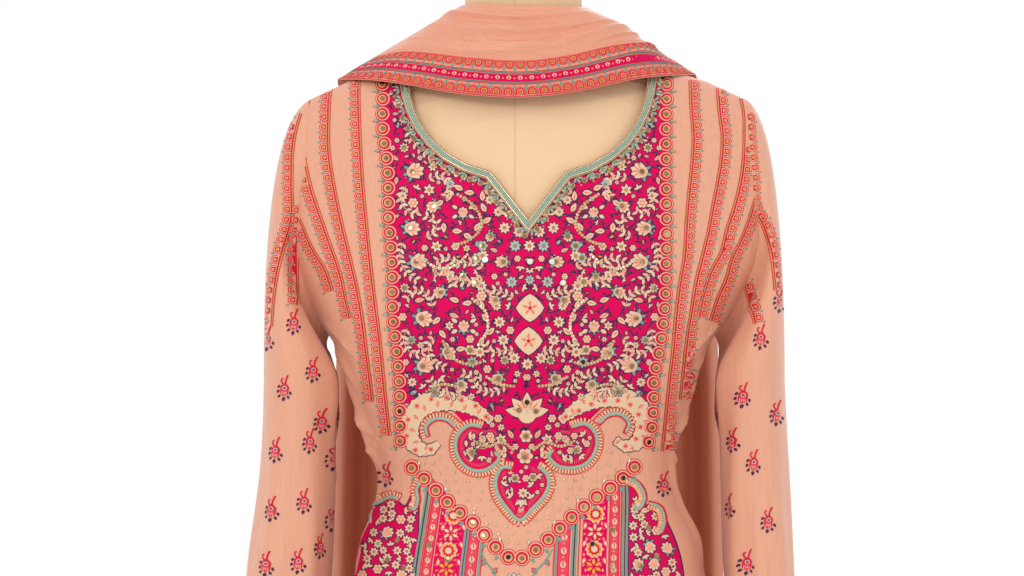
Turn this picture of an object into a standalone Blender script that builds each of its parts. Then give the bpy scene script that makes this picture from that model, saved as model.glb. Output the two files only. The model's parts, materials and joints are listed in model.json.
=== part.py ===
"""A salwar kameez suit on a limbless dress form.

The long tunic (kameez) hangs from the form's shoulders, the trousers (salwar) from its
waist, and the scarf (dupatta) lies across the front of the neck with both ends down the
back. X is the wearer's left to right as seen from the front, -Y is the front, Z is up,
and the origin is on the floor under the stand.
"""

import bmesh
import bpy
import numpy as np

# Cloth
WALL = 0.0016
SCARF_WALL = 0.0012
SEAM_GAP = 0.0004
TRIM_WALL = 0.0016

# Heights of the garment's landmarks
BUST_Z = 1.19
ARMPIT_Z = 1.172
FLARE_Z = 1.130
FLARE_HEIGHT = 0.150
HEM_Z = 0.44
SLIT_Z = 0.82
SLIT_SPREAD = 0.010

# Panel widths along the cloth, from its centre line
SIDE_S = 0.245
SHOULDER_TIP_S = 0.207
LOW_NECK_S = 0.148
TOP_SCALE = 0.965
WAIST_ROUNDNESS = 0.85
CHEST_ROUNDNESS = 0.70
SEAM_Y = 0.004

# Shoulder line: height at a distance from the centre
SHOULDER_KNEE_X = 0.164
SHOULDER_KNEE_Z = 1.4045
INNER_SLOPE = 0.30
OUTER_SLOPE = 0.47

# Neckline: a wide scoop with a notch at the centre front
NECK_HALF_WIDTH = 0.109
NECK_DROP = 0.1045
NECK_SQUARE = 2.3
NOTCH_HALF_WIDTH = 0.033
NOTCH_TIP_Z = 1.277
BACK_NECK_Z = 1.378
TRIM_WIDTH = 0.008

# Body of the tunic, outer surface: height, half width, depth to the front and to the
# back, and the sideways shift of the section's centre
BODY_COLUMNS = ("height", "half_width", "front", "back", "shift")
BODY_ROWS = (
    (1.19, 0.164, 0.133, 0.104, -0.007),
    (1.15, 0.159, 0.131, 0.101, -0.006),
    (1.13, 0.156, 0.127, 0.098, -0.006),
    (1.10, 0.146, 0.120, 0.093, -0.005),
    (1.067, 0.136, 0.112, 0.088, -0.004),
    (1.047, 0.134, 0.109, 0.087, -0.001),
    (1.017, 0.140, 0.110, 0.091, 0.002),
    (0.99, 0.153, 0.115, 0.098, 0.003),
    (0.957, 0.160, 0.120, 0.107, 0.001),
    (0.91, 0.168, 0.126, 0.119, 0.000),
    (0.86, 0.174, 0.130, 0.127, 0.000),
    (0.80, 0.181, 0.134, 0.131, 0.000),
    (0.70, 0.196, 0.138, 0.134, 0.000),
    (0.58, 0.216, 0.143, 0.138, 0.000),
    (0.44, 0.240, 0.149, 0.144, 0.000),
)

# Sleeves below the armhole: height, outer and inner edge of each, and half depth
SLEEVE_COLUMNS = ("height", "left_outer", "left_inner", "right_outer", "right_inner", "half_depth")
SLEEVE_ROWS = (
    (1.15, 0.2406, 0.1720, 0.2335, 0.1700, 0.072),
    (1.10, 0.2415, 0.1750, 0.2355, 0.1745, 0.071),
    (1.05, 0.2435, 0.1755, 0.2370, 0.1760, 0.070),
    (0.957, 0.2538, 0.1790, 0.2400, 0.1790, 0.073),
    (0.90, 0.2580, 0.1850, 0.2440, 0.1850, 0.076),
    (0.84, 0.2620, 0.1920, 0.2500, 0.1920, 0.078),
)
SLEEVE_SQUARE = 0.80
CAP_REACH_LEFT = 0.135
CAP_REACH_RIGHT = 0.105
CAP_REACH_ARMPIT = 0.070
CUFF_Z = 0.84

# Folds of a panel: start and end on the cloth, half breadth and height of the ridge.
# One that runs off the cloth ends past its edge.
FOLD_COLUMNS = ("across_0", "down_0", "across_1", "down_1", "breadth", "ridge")
FRONT_FOLDS = (
    (-0.232, 1.185, -0.196, 1.035, 0.0085, 0.0050),
    (0.234, 1.175, 0.200, 1.030, 0.0085, 0.0045),
    (-0.205, 1.130, -0.222, 0.940, 0.0090, 0.0035),
    (0.180, 1.120, 0.226, 0.945, 0.0090, 0.0035),
    (-0.212, 0.920, -0.236, 0.100, 0.0220, 0.0100),
    (-0.130, 0.840, -0.166, 0.100, 0.0240, 0.0110),
    (-0.040, 0.800, -0.064, 0.100, 0.0240, 0.0080),
    (0.062, 0.820, 0.054, 0.100, 0.0250, 0.0100),
    (0.145, 0.860, 0.172, 0.100, 0.0230, 0.0110),
    (0.212, 0.920, 0.238, 0.100, 0.0210, 0.0090),
)
BACK_FOLDS = (
    (-0.225, 1.180, -0.180, 1.040, 0.0095, 0.0050),
    (0.222, 1.175, 0.176, 1.035, 0.0095, 0.0050),
    (-0.110, 1.110, -0.090, 0.940, 0.0120, 0.0045),
    (0.100, 1.105, 0.085, 0.930, 0.0120, 0.0045),
    (-0.202, 0.900, -0.232, 0.100, 0.0220, 0.0100),
    (-0.105, 0.840, -0.128, 0.100, 0.0250, 0.0110),
    (0.004, 0.820, -0.012, 0.100, 0.0260, 0.0090),
    (0.112, 0.850, 0.130, 0.100, 0.0240, 0.0110),
    (0.204, 0.900, 0.236, 0.100, 0.0210, 0.0090),
)
# On a sleeve the first figure is degrees round from the outer side towards the front
LEFT_SLEEVE_FOLDS = (
    (128, 1.240, 150, 1.070, 15, 0.0050),
    (70, 1.140, 58, 0.600, 14, 0.0040),
    (118, 1.080, 106, 0.600, 13, 0.0045),
    (18, 1.120, 28, 0.600, 12, 0.0035),
    (238, 1.200, 214, 1.060, 15, 0.0045),
    (285, 1.090, 296, 0.600, 15, 0.0045),
)
RIGHT_SLEEVE_FOLDS = (
    (126, 1.250, 146, 1.060, 15, 0.0050),
    (112, 1.180, 148, 0.700, 13, 0.0055),
    (60, 1.090, 48, 0.600, 14, 0.0040),
    (16, 1.130, 24, 0.600, 12, 0.0035),
    (236, 1.210, 212, 1.070, 15, 0.0045),
    (282, 1.100, 294, 0.600, 15, 0.0045),
)

# Scarf across the front, from the left shoulder's crest to the right one's: its lower
# edge, its upper edge at the neck, and how far the cloth between them bows outwards
SCARF_COLUMNS = ("along", "low_x", "low_y", "low_z", "top_x", "top_y", "top_z", "bow")
SCARF_ROWS = (
    (-1.00, -0.174, 0.010, 1.4072, -0.0620, 0.004, 1.4735, 0.000),
    (-0.75, -0.142, -0.030, 1.4045, -0.0580, -0.018, 1.4730, 0.004),
    (-0.50, -0.106, -0.052, 1.3985, -0.0470, -0.041, 1.4725, 0.008),
    (-0.25, -0.057, -0.071, 1.3895, -0.0270, -0.056, 1.4710, 0.010),
    (0.00, -0.004, -0.080, 1.3866, -0.0040, -0.062, 1.4700, 0.010),
    (0.25, 0.047, -0.073, 1.3925, 0.0190, -0.056, 1.4700, 0.012),
    (0.50, 0.094, -0.055, 1.4035, 0.0400, -0.041, 1.4705, 0.013),
    (0.75, 0.127, -0.029, 1.4085, 0.0510, -0.018, 1.4710, 0.010),
    (1.00, 0.154, 0.010, 1.4115, 0.0560, 0.004, 1.4715, 0.000),
)
# Folds across the scarf: up from its lower edge, along
SCARF_FOLDS = (
    (0.84, -0.99, 0.86, 0.75, 0.085, 0.0050),
    (0.62, -0.90, 0.72, 0.50, 0.070, 0.0045),
    (0.50, -0.35, 0.58, 0.95, 0.065, 0.0040),
    (0.40, -0.98, 0.47, 0.05, 0.055, 0.0030),
    (0.20, 0.40, 0.38, 0.99, 0.060, 0.0035),
)

# One end of the scarf down the back: share of its length, distance from the middle of
# its inner and outer edges, with their depth and height, and the depth of its pleats
FALL_COLUMNS = ("down", "in_x", "in_y", "in_z", "out_x", "out_y", "out_z", "pleat")
FALL_ROWS = (
    (0.00, 0.0580, 0.004, 1.4722, 0.163, 0.010, 1.4060, 0.0000),
    (0.08, 0.0600, 0.050, 1.4520, 0.166, 0.046, 1.3920, 0.0030),
    (0.18, 0.0540, 0.096, 1.3950, 0.169, 0.084, 1.3500, 0.0060),
    (0.32, 0.0400, 0.122, 1.2700, 0.174, 0.104, 1.2500, 0.0080),
    (0.52, 0.0300, 0.132, 1.0600, 0.181, 0.114, 1.0500, 0.0090),
    (0.75, 0.0280, 0.146, 0.8400, 0.186, 0.136, 0.8350, 0.0095),
    (1.00, 0.0300, 0.160, 0.5600, 0.192, 0.150, 0.5550, 0.0100),
)
FALL_PLEATS = 4

# Trousers inside the tunic, and their legs below the crotch
TROUSER_INSET = 0.0062
TROUSER_WALL = 0.0014
WAISTBAND_TOP_Z = 1.050
WAISTBAND_LOW_Z = 1.012
CROTCH_HIGH_Z = 0.740
CROTCH_LOW_Z = 0.655
CROTCH_X = 0.024
ANKLE_Z = 0.135
CUFF_LOW_Z = 0.095
LEG_COLUMNS = ("height", "inner", "outer_left", "outer_right", "half_depth")
LEG_ROWS = (
    (1.012, 0.000, 0.130, 0.130, 0.110),
    (0.740, 0.018, 0.164, 0.172, 0.112),
    (0.655, 0.024, 0.152, 0.186, 0.100),
    (0.500, 0.024, 0.142, 0.184, 0.088),
    (0.300, 0.024, 0.130, 0.174, 0.072),
    (0.135, 0.024, 0.116, 0.162, 0.058),
    (0.095, 0.024, 0.116, 0.162, 0.058),
)
LEG_FOLDS = (
    (0.30, 0.740, 0.27, 0.100, 0.045, 0.0080),
    (0.47, 0.720, 0.45, 0.100, 0.040, 0.0070),
    (0.66, 0.740, 0.68, 0.100, 0.045, 0.0080),
    (0.12, 0.600, 0.14, 0.100, 0.040, 0.0060),
    (0.86, 0.600, 0.85, 0.100, 0.040, 0.0060),
)

# Dress form and its stand
FORM_GAP = 0.0035
SHOULDER_GAP = 0.0004
FORM_WAIST_GAP = 0.0094
FORM_SIDE_X = 0.172
FORM_LOW_Z = 0.815
NECK_X = -0.004
NECK_Y = 0.002
NECK_PROFILE = (
    (0.0560, 1.360),
    (0.0550, 1.415),
    (0.0537, 1.470),
    (0.0520, 1.512),
    (0.0490, 1.524),
    (0.0430, 1.530),
)
POLE_PROFILE = ((0.0125, 0.0574), (0.0125, 0.8146))
SOCKET_PROFILE = ((0.030, 0.0124), (0.030, 0.049), (0.027, 0.055), (0.022, 0.057))
BASE_PROFILE = ((0.190, 0.0), (0.190, 0.008), (0.187, 0.011), (0.180, 0.012))

# Columns and rows of each mesh
NOTCH_STEPS, SCOOP_STEPS, SHOULDER_STEPS, ARMHOLE_STEPS = 2, 9, 3, 9
BACK_NECK_STEPS = 5
YOKE_ROWS = 7
BODY_LEVELS = (1.13, 1.095, 1.06, 1.025, 0.99, 0.94, 0.88, 0.80, 0.69, 0.57, 0.44)
CAP_ROWS = 6
LEG_STEPS = 18
LEG_LEVELS = (1.0116, 0.985, 0.95, 0.90, 0.84, 0.80, 0.75, 0.70, 0.655, 0.52, 0.36, 0.22, 0.1354)
FORM_LEVELS = (0.815, 0.85, 0.89, 0.94, 0.975, 1.005, 1.03, 1.055, 1.08, 1.115, 1.15, 1.19)
SLEEVE_LEVELS = (1.13, 1.08, 1.03, 0.97, 0.90, 0.84)

PEACH = (0.80, 0.45, 0.31)
MAGENTA = (0.72, 0.02, 0.12)
MINT = (0.42, 0.60, 0.50)
LINEN = (0.78, 0.60, 0.40)
STEEL = (0.55, 0.55, 0.56)


def table(columns, rows):
    """A table's columns as arrays, by name, in rising order of the first one."""
    values = np.array(sorted(rows), float)
    return {name: values[:, i] for i, name in enumerate(columns)}


BODY = table(BODY_COLUMNS, BODY_ROWS)
SLEEVE = table(SLEEVE_COLUMNS, SLEEVE_ROWS)
SCARF = table(SCARF_COLUMNS, SCARF_ROWS)
FALL = table(FALL_COLUMNS, FALL_ROWS)
LEG = table(LEG_COLUMNS, LEG_ROWS)


def smooth(t):
    t = np.clip(t, 0, 1)
    return t * t * (3 - 2 * t)


def mix(a, b, t):
    return a + (b - a) * t


def curve(knots, values, x):
    """A smooth curve through a table's values (cubic, with the neighbours' slopes)."""
    slopes = np.gradient(values, knots)
    x = np.clip(x, knots[0], knots[-1])
    i = np.clip(np.searchsorted(knots, x) - 1, 0, len(knots) - 2)
    span = knots[i + 1] - knots[i]
    t = (x - knots[i]) / span
    a = (1 + 2 * t) * (1 - t) ** 2 * values[i] + t**2 * (3 - 2 * t) * values[i + 1]
    return a + span * (t * (1 - t) ** 2 * slopes[i] - t**2 * (1 - t) * slopes[i + 1])


def read(data, name, x):
    first = next(iter(data))
    return curve(data[first], data[name], x)


def ridges(folds, across, down):
    """How far the folds lift the cloth at each point."""
    lift = np.zeros(np.broadcast(across, down).shape)
    for across_0, down_0, across_1, down_1, breadth, ridge in folds:
        t = (down - down_0) / (down_1 - down_0)
        off = (across - mix(across_0, across_1, t)) / breadth
        taper = smooth(t / 0.3) * smooth((1 - t) / 0.3)
        lift = lift + ridge * np.exp(-(off**2)) * taper
    return lift


def shoulder_height(x):
    """Height of the shoulder line over a point x from the middle."""
    out = np.abs(x) - SHOULDER_KNEE_X
    return SHOULDER_KNEE_Z - np.where(out < 0, INNER_SLOPE, OUTER_SLOPE) * out


def section_power(z):
    """How square the body's section is at height z: 1 is an ellipse, less is squarer."""
    return mix(WAIST_ROUNDNESS, CHEST_ROUNDNESS, smooth((z - 1.05) / 0.14))


def body_section(s, z, depth_name, inset):
    """Width and depth of the body's section at cloth distance s and height z."""
    half_width = read(BODY, "half_width", z) - inset
    depth = read(BODY, depth_name, z) - inset
    q = np.clip(np.abs(s) / SIDE_S, 0, 1)
    slope = 2 * SIDE_S / (np.pi * half_width)
    angle = 0.5 * np.pi * np.clip(slope * q + (1 - slope) * q**3, 0, 1)
    return half_width * np.sin(angle), depth * np.cos(angle) ** section_power(z)


def panel(s, z, facing, inset=0.0, side_x=None):
    """A point of the front (facing -1) or back (+1) panel, at cloth distance s from its
    centre line and height z. side_x narrows the shoulders to the form's own."""
    s, z = np.broadcast_arrays(np.asarray(s, float), np.asarray(z, float))
    low_z = np.minimum(z, BUST_Z)
    width, depth = body_section(s, low_z, "front" if facing < 0 else "back", inset)
    top_x = TOP_SCALE * np.abs(s)
    if side_x is not None:
        q = np.abs(s) / SIDE_S
        top_x = side_x * (q + 0.35 * q * (1 - q))
    crest = shoulder_height(top_x) - inset
    z = np.minimum(z, crest)
    roundness = mix(1.5 if facing < 0 else 1.7, 1.9, smooth(top_x / 0.15))
    fall = np.clip((crest - z) / (crest - BUST_Z), 0, 1)
    profile = (1 - (1 - fall) ** roundness) ** (1 / roundness)
    above = z > BUST_Z
    y = facing * np.where(above, profile * (depth - facing * SEAM_Y) + facing * SEAM_Y, depth)
    spread = SLIT_SPREAD * smooth((SLIT_Z - z) / (SLIT_Z - HEM_Z)) + SEAM_GAP
    y = y + facing * smooth(1 - np.where(above, profile, 1) * depth / 0.05) * spread
    rise = smooth((z - FLARE_Z) / FLARE_HEIGHT)
    x = np.sign(s) * mix(width, top_x, rise) + read(BODY, "shift", low_z) * (1 - rise)
    return np.stack([x, y, z], -1)


def panel_normals(s, z, facing):
    """Outward unit normals of a panel, level with the seam along its seams."""
    crest = shoulder_height(TOP_SCALE * np.abs(s))
    at_z = np.minimum(z, crest - 0.002)
    step = 0.0005
    across = panel(s + step, at_z, facing) - panel(s - step, at_z, facing)
    down = panel(s, at_z - step, facing) - panel(s, at_z + step, facing)
    normal = facing * np.cross(across, down)
    seam = (np.abs(s) > SIDE_S - 1e-6) | (z > crest - 1e-6)
    normal[..., 1] = np.where(seam, 0, normal[..., 1])
    return normal / np.linalg.norm(normal, axis=-1, keepdims=True)


def grid_normals(points, closed=False, outward=1):
    """Unit normals of a grid of points, from its neighbours."""
    if closed:
        around = np.roll(points, -1, 1) - np.roll(points, 1, 1)
    else:
        around = np.gradient(points, axis=1)
    normal = outward * np.cross(around, np.gradient(points, axis=0))
    return normal / np.maximum(np.linalg.norm(normal, axis=2, keepdims=True), 1e-12)


def armhole_edge():
    """The armhole from the shoulder's tip to the armpit, as (s, z)."""
    q = np.linspace(0, 1, ARMHOLE_STEPS + 1)
    tip_z = shoulder_height(TOP_SCALE * SHOULDER_TIP_S)
    return mix(SHOULDER_TIP_S, SIDE_S, q**2), mix(tip_z, ARMPIT_Z, q**0.9)


def neckline_edge(facing):
    """A panel's top edge from the neck's centre to the armpit, as (s, z), and the
    number of its point where the neckline meets the shoulder."""
    neck_top_z = shoulder_height(NECK_HALF_WIDTH)
    if facing < 0:
        notch_x = np.linspace(0, NOTCH_HALF_WIDTH, NOTCH_STEPS + 1)[:-1]
        across = (NOTCH_HALF_WIDTH / NECK_HALF_WIDTH) ** (NECK_SQUARE / 2)
        near = (1 - np.linspace(0, 1, SCOOP_STEPS + 1)[:-1]) ** 1.5
        turn = mix(np.pi / 2, np.arcsin(across), near)
        scoop_x = NECK_HALF_WIDTH * np.sin(turn) ** (2 / NECK_SQUARE)
        scoop_z = neck_top_z - NECK_DROP * np.cos(turn) ** (2 / NECK_SQUARE)
        notch_z = mix(NOTCH_TIP_Z, scoop_z[0], notch_x / NOTCH_HALF_WIDTH)
        neck_x = np.concatenate([notch_x, scoop_x])
        neck_z = np.concatenate([notch_z, scoop_z])
    else:
        turn = np.linspace(0, np.pi / 2, NOTCH_STEPS + SCOOP_STEPS - 2)[:-1]
        neck_x = NECK_HALF_WIDTH * np.sin(turn)
        neck_z = mix(neck_top_z, BACK_NECK_Z, np.cos(turn))
    x = np.linspace(NECK_HALF_WIDTH, SHOULDER_KNEE_X, SHOULDER_STEPS)
    s, z = armhole_edge()
    return (
        np.concatenate([neck_x / TOP_SCALE, x / TOP_SCALE, s]),
        np.concatenate([neck_z, shoulder_height(x), z]),
        len(neck_x),
    )


def inside_edge(s, z, width):
    """The line that runs inside the cloth at a width from its edge."""
    s = np.concatenate([[-s[1]], s])
    z = np.concatenate([[z[1]], z])
    along = np.stack([np.diff(s), np.diff(z)], -1)
    along /= np.linalg.norm(along, axis=1, keepdims=True)
    across = np.stack([along[:, 1], -along[:, 0]], -1)
    before, after = across, np.concatenate([across[1:], across[-1:]])
    turn = 1 + np.sum(before * after, axis=1, keepdims=True)
    offset = width * (before + after) / np.maximum(turn, 0.35)
    return s[1:] + offset[:, 0], z[1:] + offset[:, 1]


def panel_grid(facing):
    """Points of a panel in rows, from its top edge down to its hem."""
    s, z, corner = neckline_edge(facing)
    chord = np.concatenate([[0], np.cumsum(np.hypot(np.diff(s), np.diff(z)))])
    neck_s = LOW_NECK_S * chord[: corner + 1] / chord[corner]
    low_s = np.concatenate([neck_s, np.linspace(LOW_NECK_S, SIDE_S, len(s) - corner)[1:]])
    in_s, in_z = inside_edge(s, z, TRIM_WIDTH)
    in_s[0], in_s[-1] = 0, SIDE_S
    in_z[-1] = z[-1] - TRIM_WIDTH
    shoulder = slice(corner, corner + SHOULDER_STEPS + 1)
    in_s[shoulder] = s[shoulder]
    in_s[corner] += 2 * TRIM_WIDTH
    in_s[corner + SHOULDER_STEPS] -= TRIM_WIDTH
    in_z[shoulder] = shoulder_height(TOP_SCALE * in_s[shoulder]) - WALL
    even = np.linspace(0, 1, YOKE_ROWS)[:, None]
    low = np.clip((s - SHOULDER_TIP_S) / (SIDE_S - SHOULDER_TIP_S), 0, 1)
    t = mix(1 - np.cos(even * np.pi / 2), even, low)
    levels = np.array(BODY_LEVELS[1:])[:, None] * np.ones(len(s))
    rows_s = np.concatenate([s[None], mix(in_s, low_s, t**0.6), 0 * levels + low_s])
    rows_z = np.concatenate([z[None], mix(in_z, BODY_LEVELS[0], t), levels])
    rows_s = np.concatenate([-rows_s[:, :0:-1], rows_s], 1)
    rows_z = np.concatenate([rows_z[:, :0:-1], rows_z], 1)
    folds = FRONT_FOLDS if facing < 0 else BACK_FOLDS
    held = np.where(rows_z < SLIT_Z - 0.1, 1.0, smooth((SIDE_S - np.abs(rows_s)) / 0.02))
    lift = ridges(folds, rows_s, rows_z) * held
    normal = panel_normals(rows_s, rows_z, facing)
    return panel(rows_s, rows_z, facing) + lift[..., None] * normal, normal


def neck_trim_grid():
    """The corded edging that lies on the front panel along its neckline."""
    points, normal = panel_grid(-1)
    middle = points.shape[1] // 2
    reach = NOTCH_STEPS + SCOOP_STEPS - 1
    keep = slice(middle - reach, middle + reach + 1)
    return points[:2, keep] + normal[:2, keep] * (SEAM_GAP + TRIM_WALL), normal[:2, keep]


def sleeve_grid(side):
    """A sleeve as rings, from the armhole down to the cuff; side is -1 or 1."""
    s, z = armhole_edge()
    front = panel(side * s, z, -1)
    back = panel(side * s[1:-1], z[1:-1], 1)
    top = np.concatenate([front, back[::-1]])
    turn = np.linspace(0, 2 * np.pi, len(top), endpoint=False)
    over = np.cos(turn / 2) ** 2
    start = np.stack([side * (0.45 + 0.42 * over), -0.25 * np.sin(turn), -0.75 + 0.25 * over], -1)
    start /= np.linalg.norm(start, axis=1, keepdims=True)
    seam = panel_normals(side * s, z, -1)
    seam = np.concatenate([seam, panel_normals(side * s[1:-1], z[1:-1], 1)[::-1]])
    away = side * np.cross(seam, np.roll(top, -1, 0) - np.roll(top, 1, 0))
    away /= np.linalg.norm(away, axis=1, keepdims=True)
    top = top + away * 3 * SEAM_GAP
    low = sleeve_ring(side, turn, SLEEVE_LEVELS[0])
    reach = np.linalg.norm(low - top, axis=1, keepdims=True)
    t = np.linspace(0, 1, CAP_ROWS + 1)[:-1, None, None]
    cap_reach = CAP_REACH_LEFT if side < 0 else CAP_REACH_RIGHT
    lead_in = start * np.minimum(reach, mix(CAP_REACH_ARMPIT, cap_reach, over[:, None]))
    lead_out = np.array([0, 0, -1.1]) * reach
    cap = (
        (1 + 2 * t) * (1 - t) ** 2 * top
        + t**2 * (3 - 2 * t) * low
        + t * (1 - t) ** 2 * lead_in
        - t**2 * (1 - t) * lead_out
    )
    levels = np.array(SLEEVE_LEVELS)[:, None]
    points = np.concatenate([cap, sleeve_ring(side, turn[None], levels)])
    folds = LEFT_SLEEVE_FOLDS if side < 0 else RIGHT_SLEEVE_FOLDS
    degrees = np.degrees(turn)[None] * np.ones((len(points), 1))
    clear_of_seam = smooth(np.arange(len(points)) / CAP_ROWS)[:, None, None]
    lift = ridges(folds, degrees, points[..., 2])[..., None] * clear_of_seam
    points = points + lift * grid_normals(points, True, side)
    return points, grid_normals(points, True, side)


def sleeve_ring(side, turn, z):
    """Points round a sleeve at height z, from its outer edge towards the front."""
    name = "left" if side < 0 else "right"
    outer = read(SLEEVE, f"{name}_outer", z)
    inner = read(SLEEVE, f"{name}_inner", z)
    across = np.sign(np.cos(turn)) * np.abs(np.cos(turn)) ** SLEEVE_SQUARE
    x = side * ((outer + inner) / 2 + (outer - inner) / 2 * across)
    return np.stack([x, -read(SLEEVE, "half_depth", z) * np.sin(turn), z + 0 * turn], -1)


def scarf_front_grid(columns=26, rows=9):
    """The scarf across the front of the neck, from shoulder crest to shoulder crest."""
    along = np.linspace(-1, 1, columns + 1)[None]
    up = np.linspace(0, 1, rows + 1)[:, None]
    low = np.stack([read(SCARF, n, along) for n in ("low_x", "low_y", "low_z")], -1)
    top = np.stack([read(SCARF, n, along) for n in ("top_x", "top_y", "top_z")], -1)
    points = mix(low, top, up[..., None])
    bow = read(SCARF, "bow", along) * np.sin(np.pi * up)
    ends = smooth((1 - np.abs(along)) / 0.15)
    folds = ridges(SCARF_FOLDS, up + 0 * along, along + 0 * up) * ends
    points = points + (bow + folds)[..., None] * grid_normals(points)
    return points, grid_normals(points)


def fall_grid(side, columns=24, rows=9):
    """One end of the scarf, from the shoulder's crest down the back to its hem."""
    down = np.linspace(0, 1, rows + 1)[:, None] ** 1.3
    across = np.linspace(0, 1, columns + 1)[None]
    inner = np.stack([read(FALL, n, down) for n in ("in_x", "in_y", "in_z")], -1)
    outer = np.stack([read(FALL, n, down) for n in ("out_x", "out_y", "out_z")], -1)
    points = mix(inner, outer, across[..., None])
    edge = SCARF_ROWS[0] if side < 0 else SCARF_ROWS[-1]
    crest = mix(np.array(edge[4:7]), np.array(edge[1:4]), across.T)
    points[..., 0] *= side
    near = smooth(1 - down / 0.15)[..., None]
    straight = points[:1].copy()
    points = points + (crest[None] + np.array([0, 3 * SEAM_GAP, 0]) - straight) * near
    pleat = read(FALL, "pleat", down) * (1 + np.sin(2 * np.pi * FALL_PLEATS * across))
    points = points + pleat[..., None] * grid_normals(points, outward=side)
    return points, grid_normals(points, outward=side)


def leg_points(side, share, z):
    """A trouser leg's points: half of the seat above the crotch, a tube below it. The
    share runs from the front seam (0) round the outside to the back seam (1)."""
    share, z = np.broadcast_arrays(share, z)
    turn = np.pi * share
    depth_z = np.maximum(z, FORM_LOW_Z - 0.04)
    depth = np.where(turn < np.pi / 2, read(BODY, "front", depth_z), read(BODY, "back", depth_z))
    depth = depth - TROUSER_INSET
    half_width = read(BODY, "half_width", z) - TROUSER_INSET
    seam = SEAM_GAP * side
    middle = read(LEG, "inner", z) + seam
    outer_x = side * half_width + read(BODY, "shift", z)
    seat_x = middle + (outer_x - middle) * np.sin(turn)
    facing = np.where(turn < np.pi / 2, -1, 1)
    seat_y = facing * depth * np.abs(np.cos(turn)) ** section_power(z)
    outer = side * read(LEG, "outer_left" if side < 0 else "outer_right", z)
    inner = CROTCH_X + seam
    around = mix(0.01, 2 * np.pi - 0.01, share)
    leg_x = (outer + inner) / 2 - (outer - inner) / 2 * np.cos(around)
    leg_y = -read(LEG, "half_depth", z) * np.sin(around)
    split = smooth((CROTCH_HIGH_Z + 0.03 - z) / (CROTCH_HIGH_Z + 0.03 - CROTCH_LOW_Z))
    return np.stack([mix(seat_x, leg_x, split), mix(seat_y, leg_y, split), z], -1)


def leg_grid(side):
    share = np.linspace(0, 1, LEG_STEPS + 1)[None]
    z = np.array(LEG_LEVELS)[:, None]
    free = smooth((0.74 - z) / 0.12) * smooth((z - ANKLE_Z) / 0.06)
    points = leg_points(side, share, z)
    lift = (ridges(LEG_FOLDS, share, z) * free)[..., None]
    points = points + lift * grid_normals(points, outward=-side)
    return points, grid_normals(points, outward=-side)


def cuff_grid(side):
    z = np.array([[ANKLE_Z - SEAM_GAP], [CUFF_LOW_Z]])
    points = leg_points(side, np.linspace(0, 1, LEG_STEPS + 1)[None], z)
    return points, grid_normals(points, outward=-side)


def waistband_grid(columns=32):
    turn = np.linspace(0, 2 * np.pi, columns, endpoint=False)[None]
    z = np.array([WAISTBAND_TOP_Z, WAISTBAND_LOW_Z + SEAM_GAP])[:, None]
    depth = np.where(np.cos(turn) > 0, read(BODY, "front", z), read(BODY, "back", z))
    across = np.abs(np.cos(turn)) ** section_power(z)
    y = -np.sign(np.cos(turn)) * (depth - TROUSER_INSET) * across
    x = (read(BODY, "half_width", z) - TROUSER_INSET) * np.sin(turn) + read(BODY, "shift", z)
    points = np.stack([x, y, z + 0 * turn], -1)
    return points, grid_normals(points, True, -1)


def form_grid(columns=20, high_rows=8):
    """The dress form's body as closed rings; the last one folds onto the shoulders."""
    s = SIDE_S * np.linspace(-1, 1, columns + 1)
    around = np.concatenate([s, s[-2:0:-1]])[None]
    facing = np.concatenate([np.full(len(s), -1), np.full(len(s) - 2, 1)])[None]
    low_z = np.array(FORM_LEVELS)[:, None] * np.ones(around.shape)
    q = np.abs(around) / SIDE_S
    crest = shoulder_height(FORM_SIDE_X * (q + 0.35 * q * (1 - q))) - WALL - FORM_GAP
    t = np.sin(np.linspace(0, 1, high_rows + 1)[1:, None] * np.pi / 2)
    z = np.concatenate([low_z, mix(BUST_Z, crest, t)])
    low = smooth((BUST_Z - z) / 0.10)
    inset = WALL + mix(FORM_GAP, FORM_WAIST_GAP, low)
    around = around + 0 * z
    front = panel(around, z, -1, inset, FORM_SIDE_X)
    back = panel(around, z, 1, inset, FORM_SIDE_X)
    points = np.where((facing < 0)[..., None], front, back)
    height = np.clip((z - BUST_Z) / (crest - BUST_Z), 0, 1)
    edge = (np.abs(around) > SIDE_S - 1e-6) | (height > 1 - 1e-6)
    points[..., 1] = np.where(edge, SEAM_Y * height, points[..., 1])
    points[-1, :, 2] += FORM_GAP - SHOULDER_GAP
    return points


def material(name, colour, roughness, metallic=0.0):
    made = bpy.data.materials.new(name)
    made.use_nodes = True
    shader = made.node_tree.nodes["Principled BSDF"]
    shader.inputs["Base Color"].default_value = (*colour, 1)
    shader.inputs["Roughness"].default_value = roughness
    shader.inputs["Metallic"].default_value = metallic
    return made


def add_object(collection, name, mesh, finish):
    obj = bpy.data.objects.new(name, mesh)
    obj.data.materials.append(finish)
    collection.objects.link(obj)
    mesh.shade_smooth()
    return obj


def grid_faces(rows, columns, closed):
    """Triangles over a grid of points, with each row joined round if closed. The
    diagonals lean the same way on both faces of a wall, so that it keeps its thickness."""
    faces = []
    for r in range(rows - 1):
        for c in range(columns if closed else columns - 1):
            d = (c + 1) % columns
            a, b = r * columns + c, r * columns + d
            faces += [(a, b, b + columns), (a, b + columns, a + columns)]
    return faces


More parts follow.
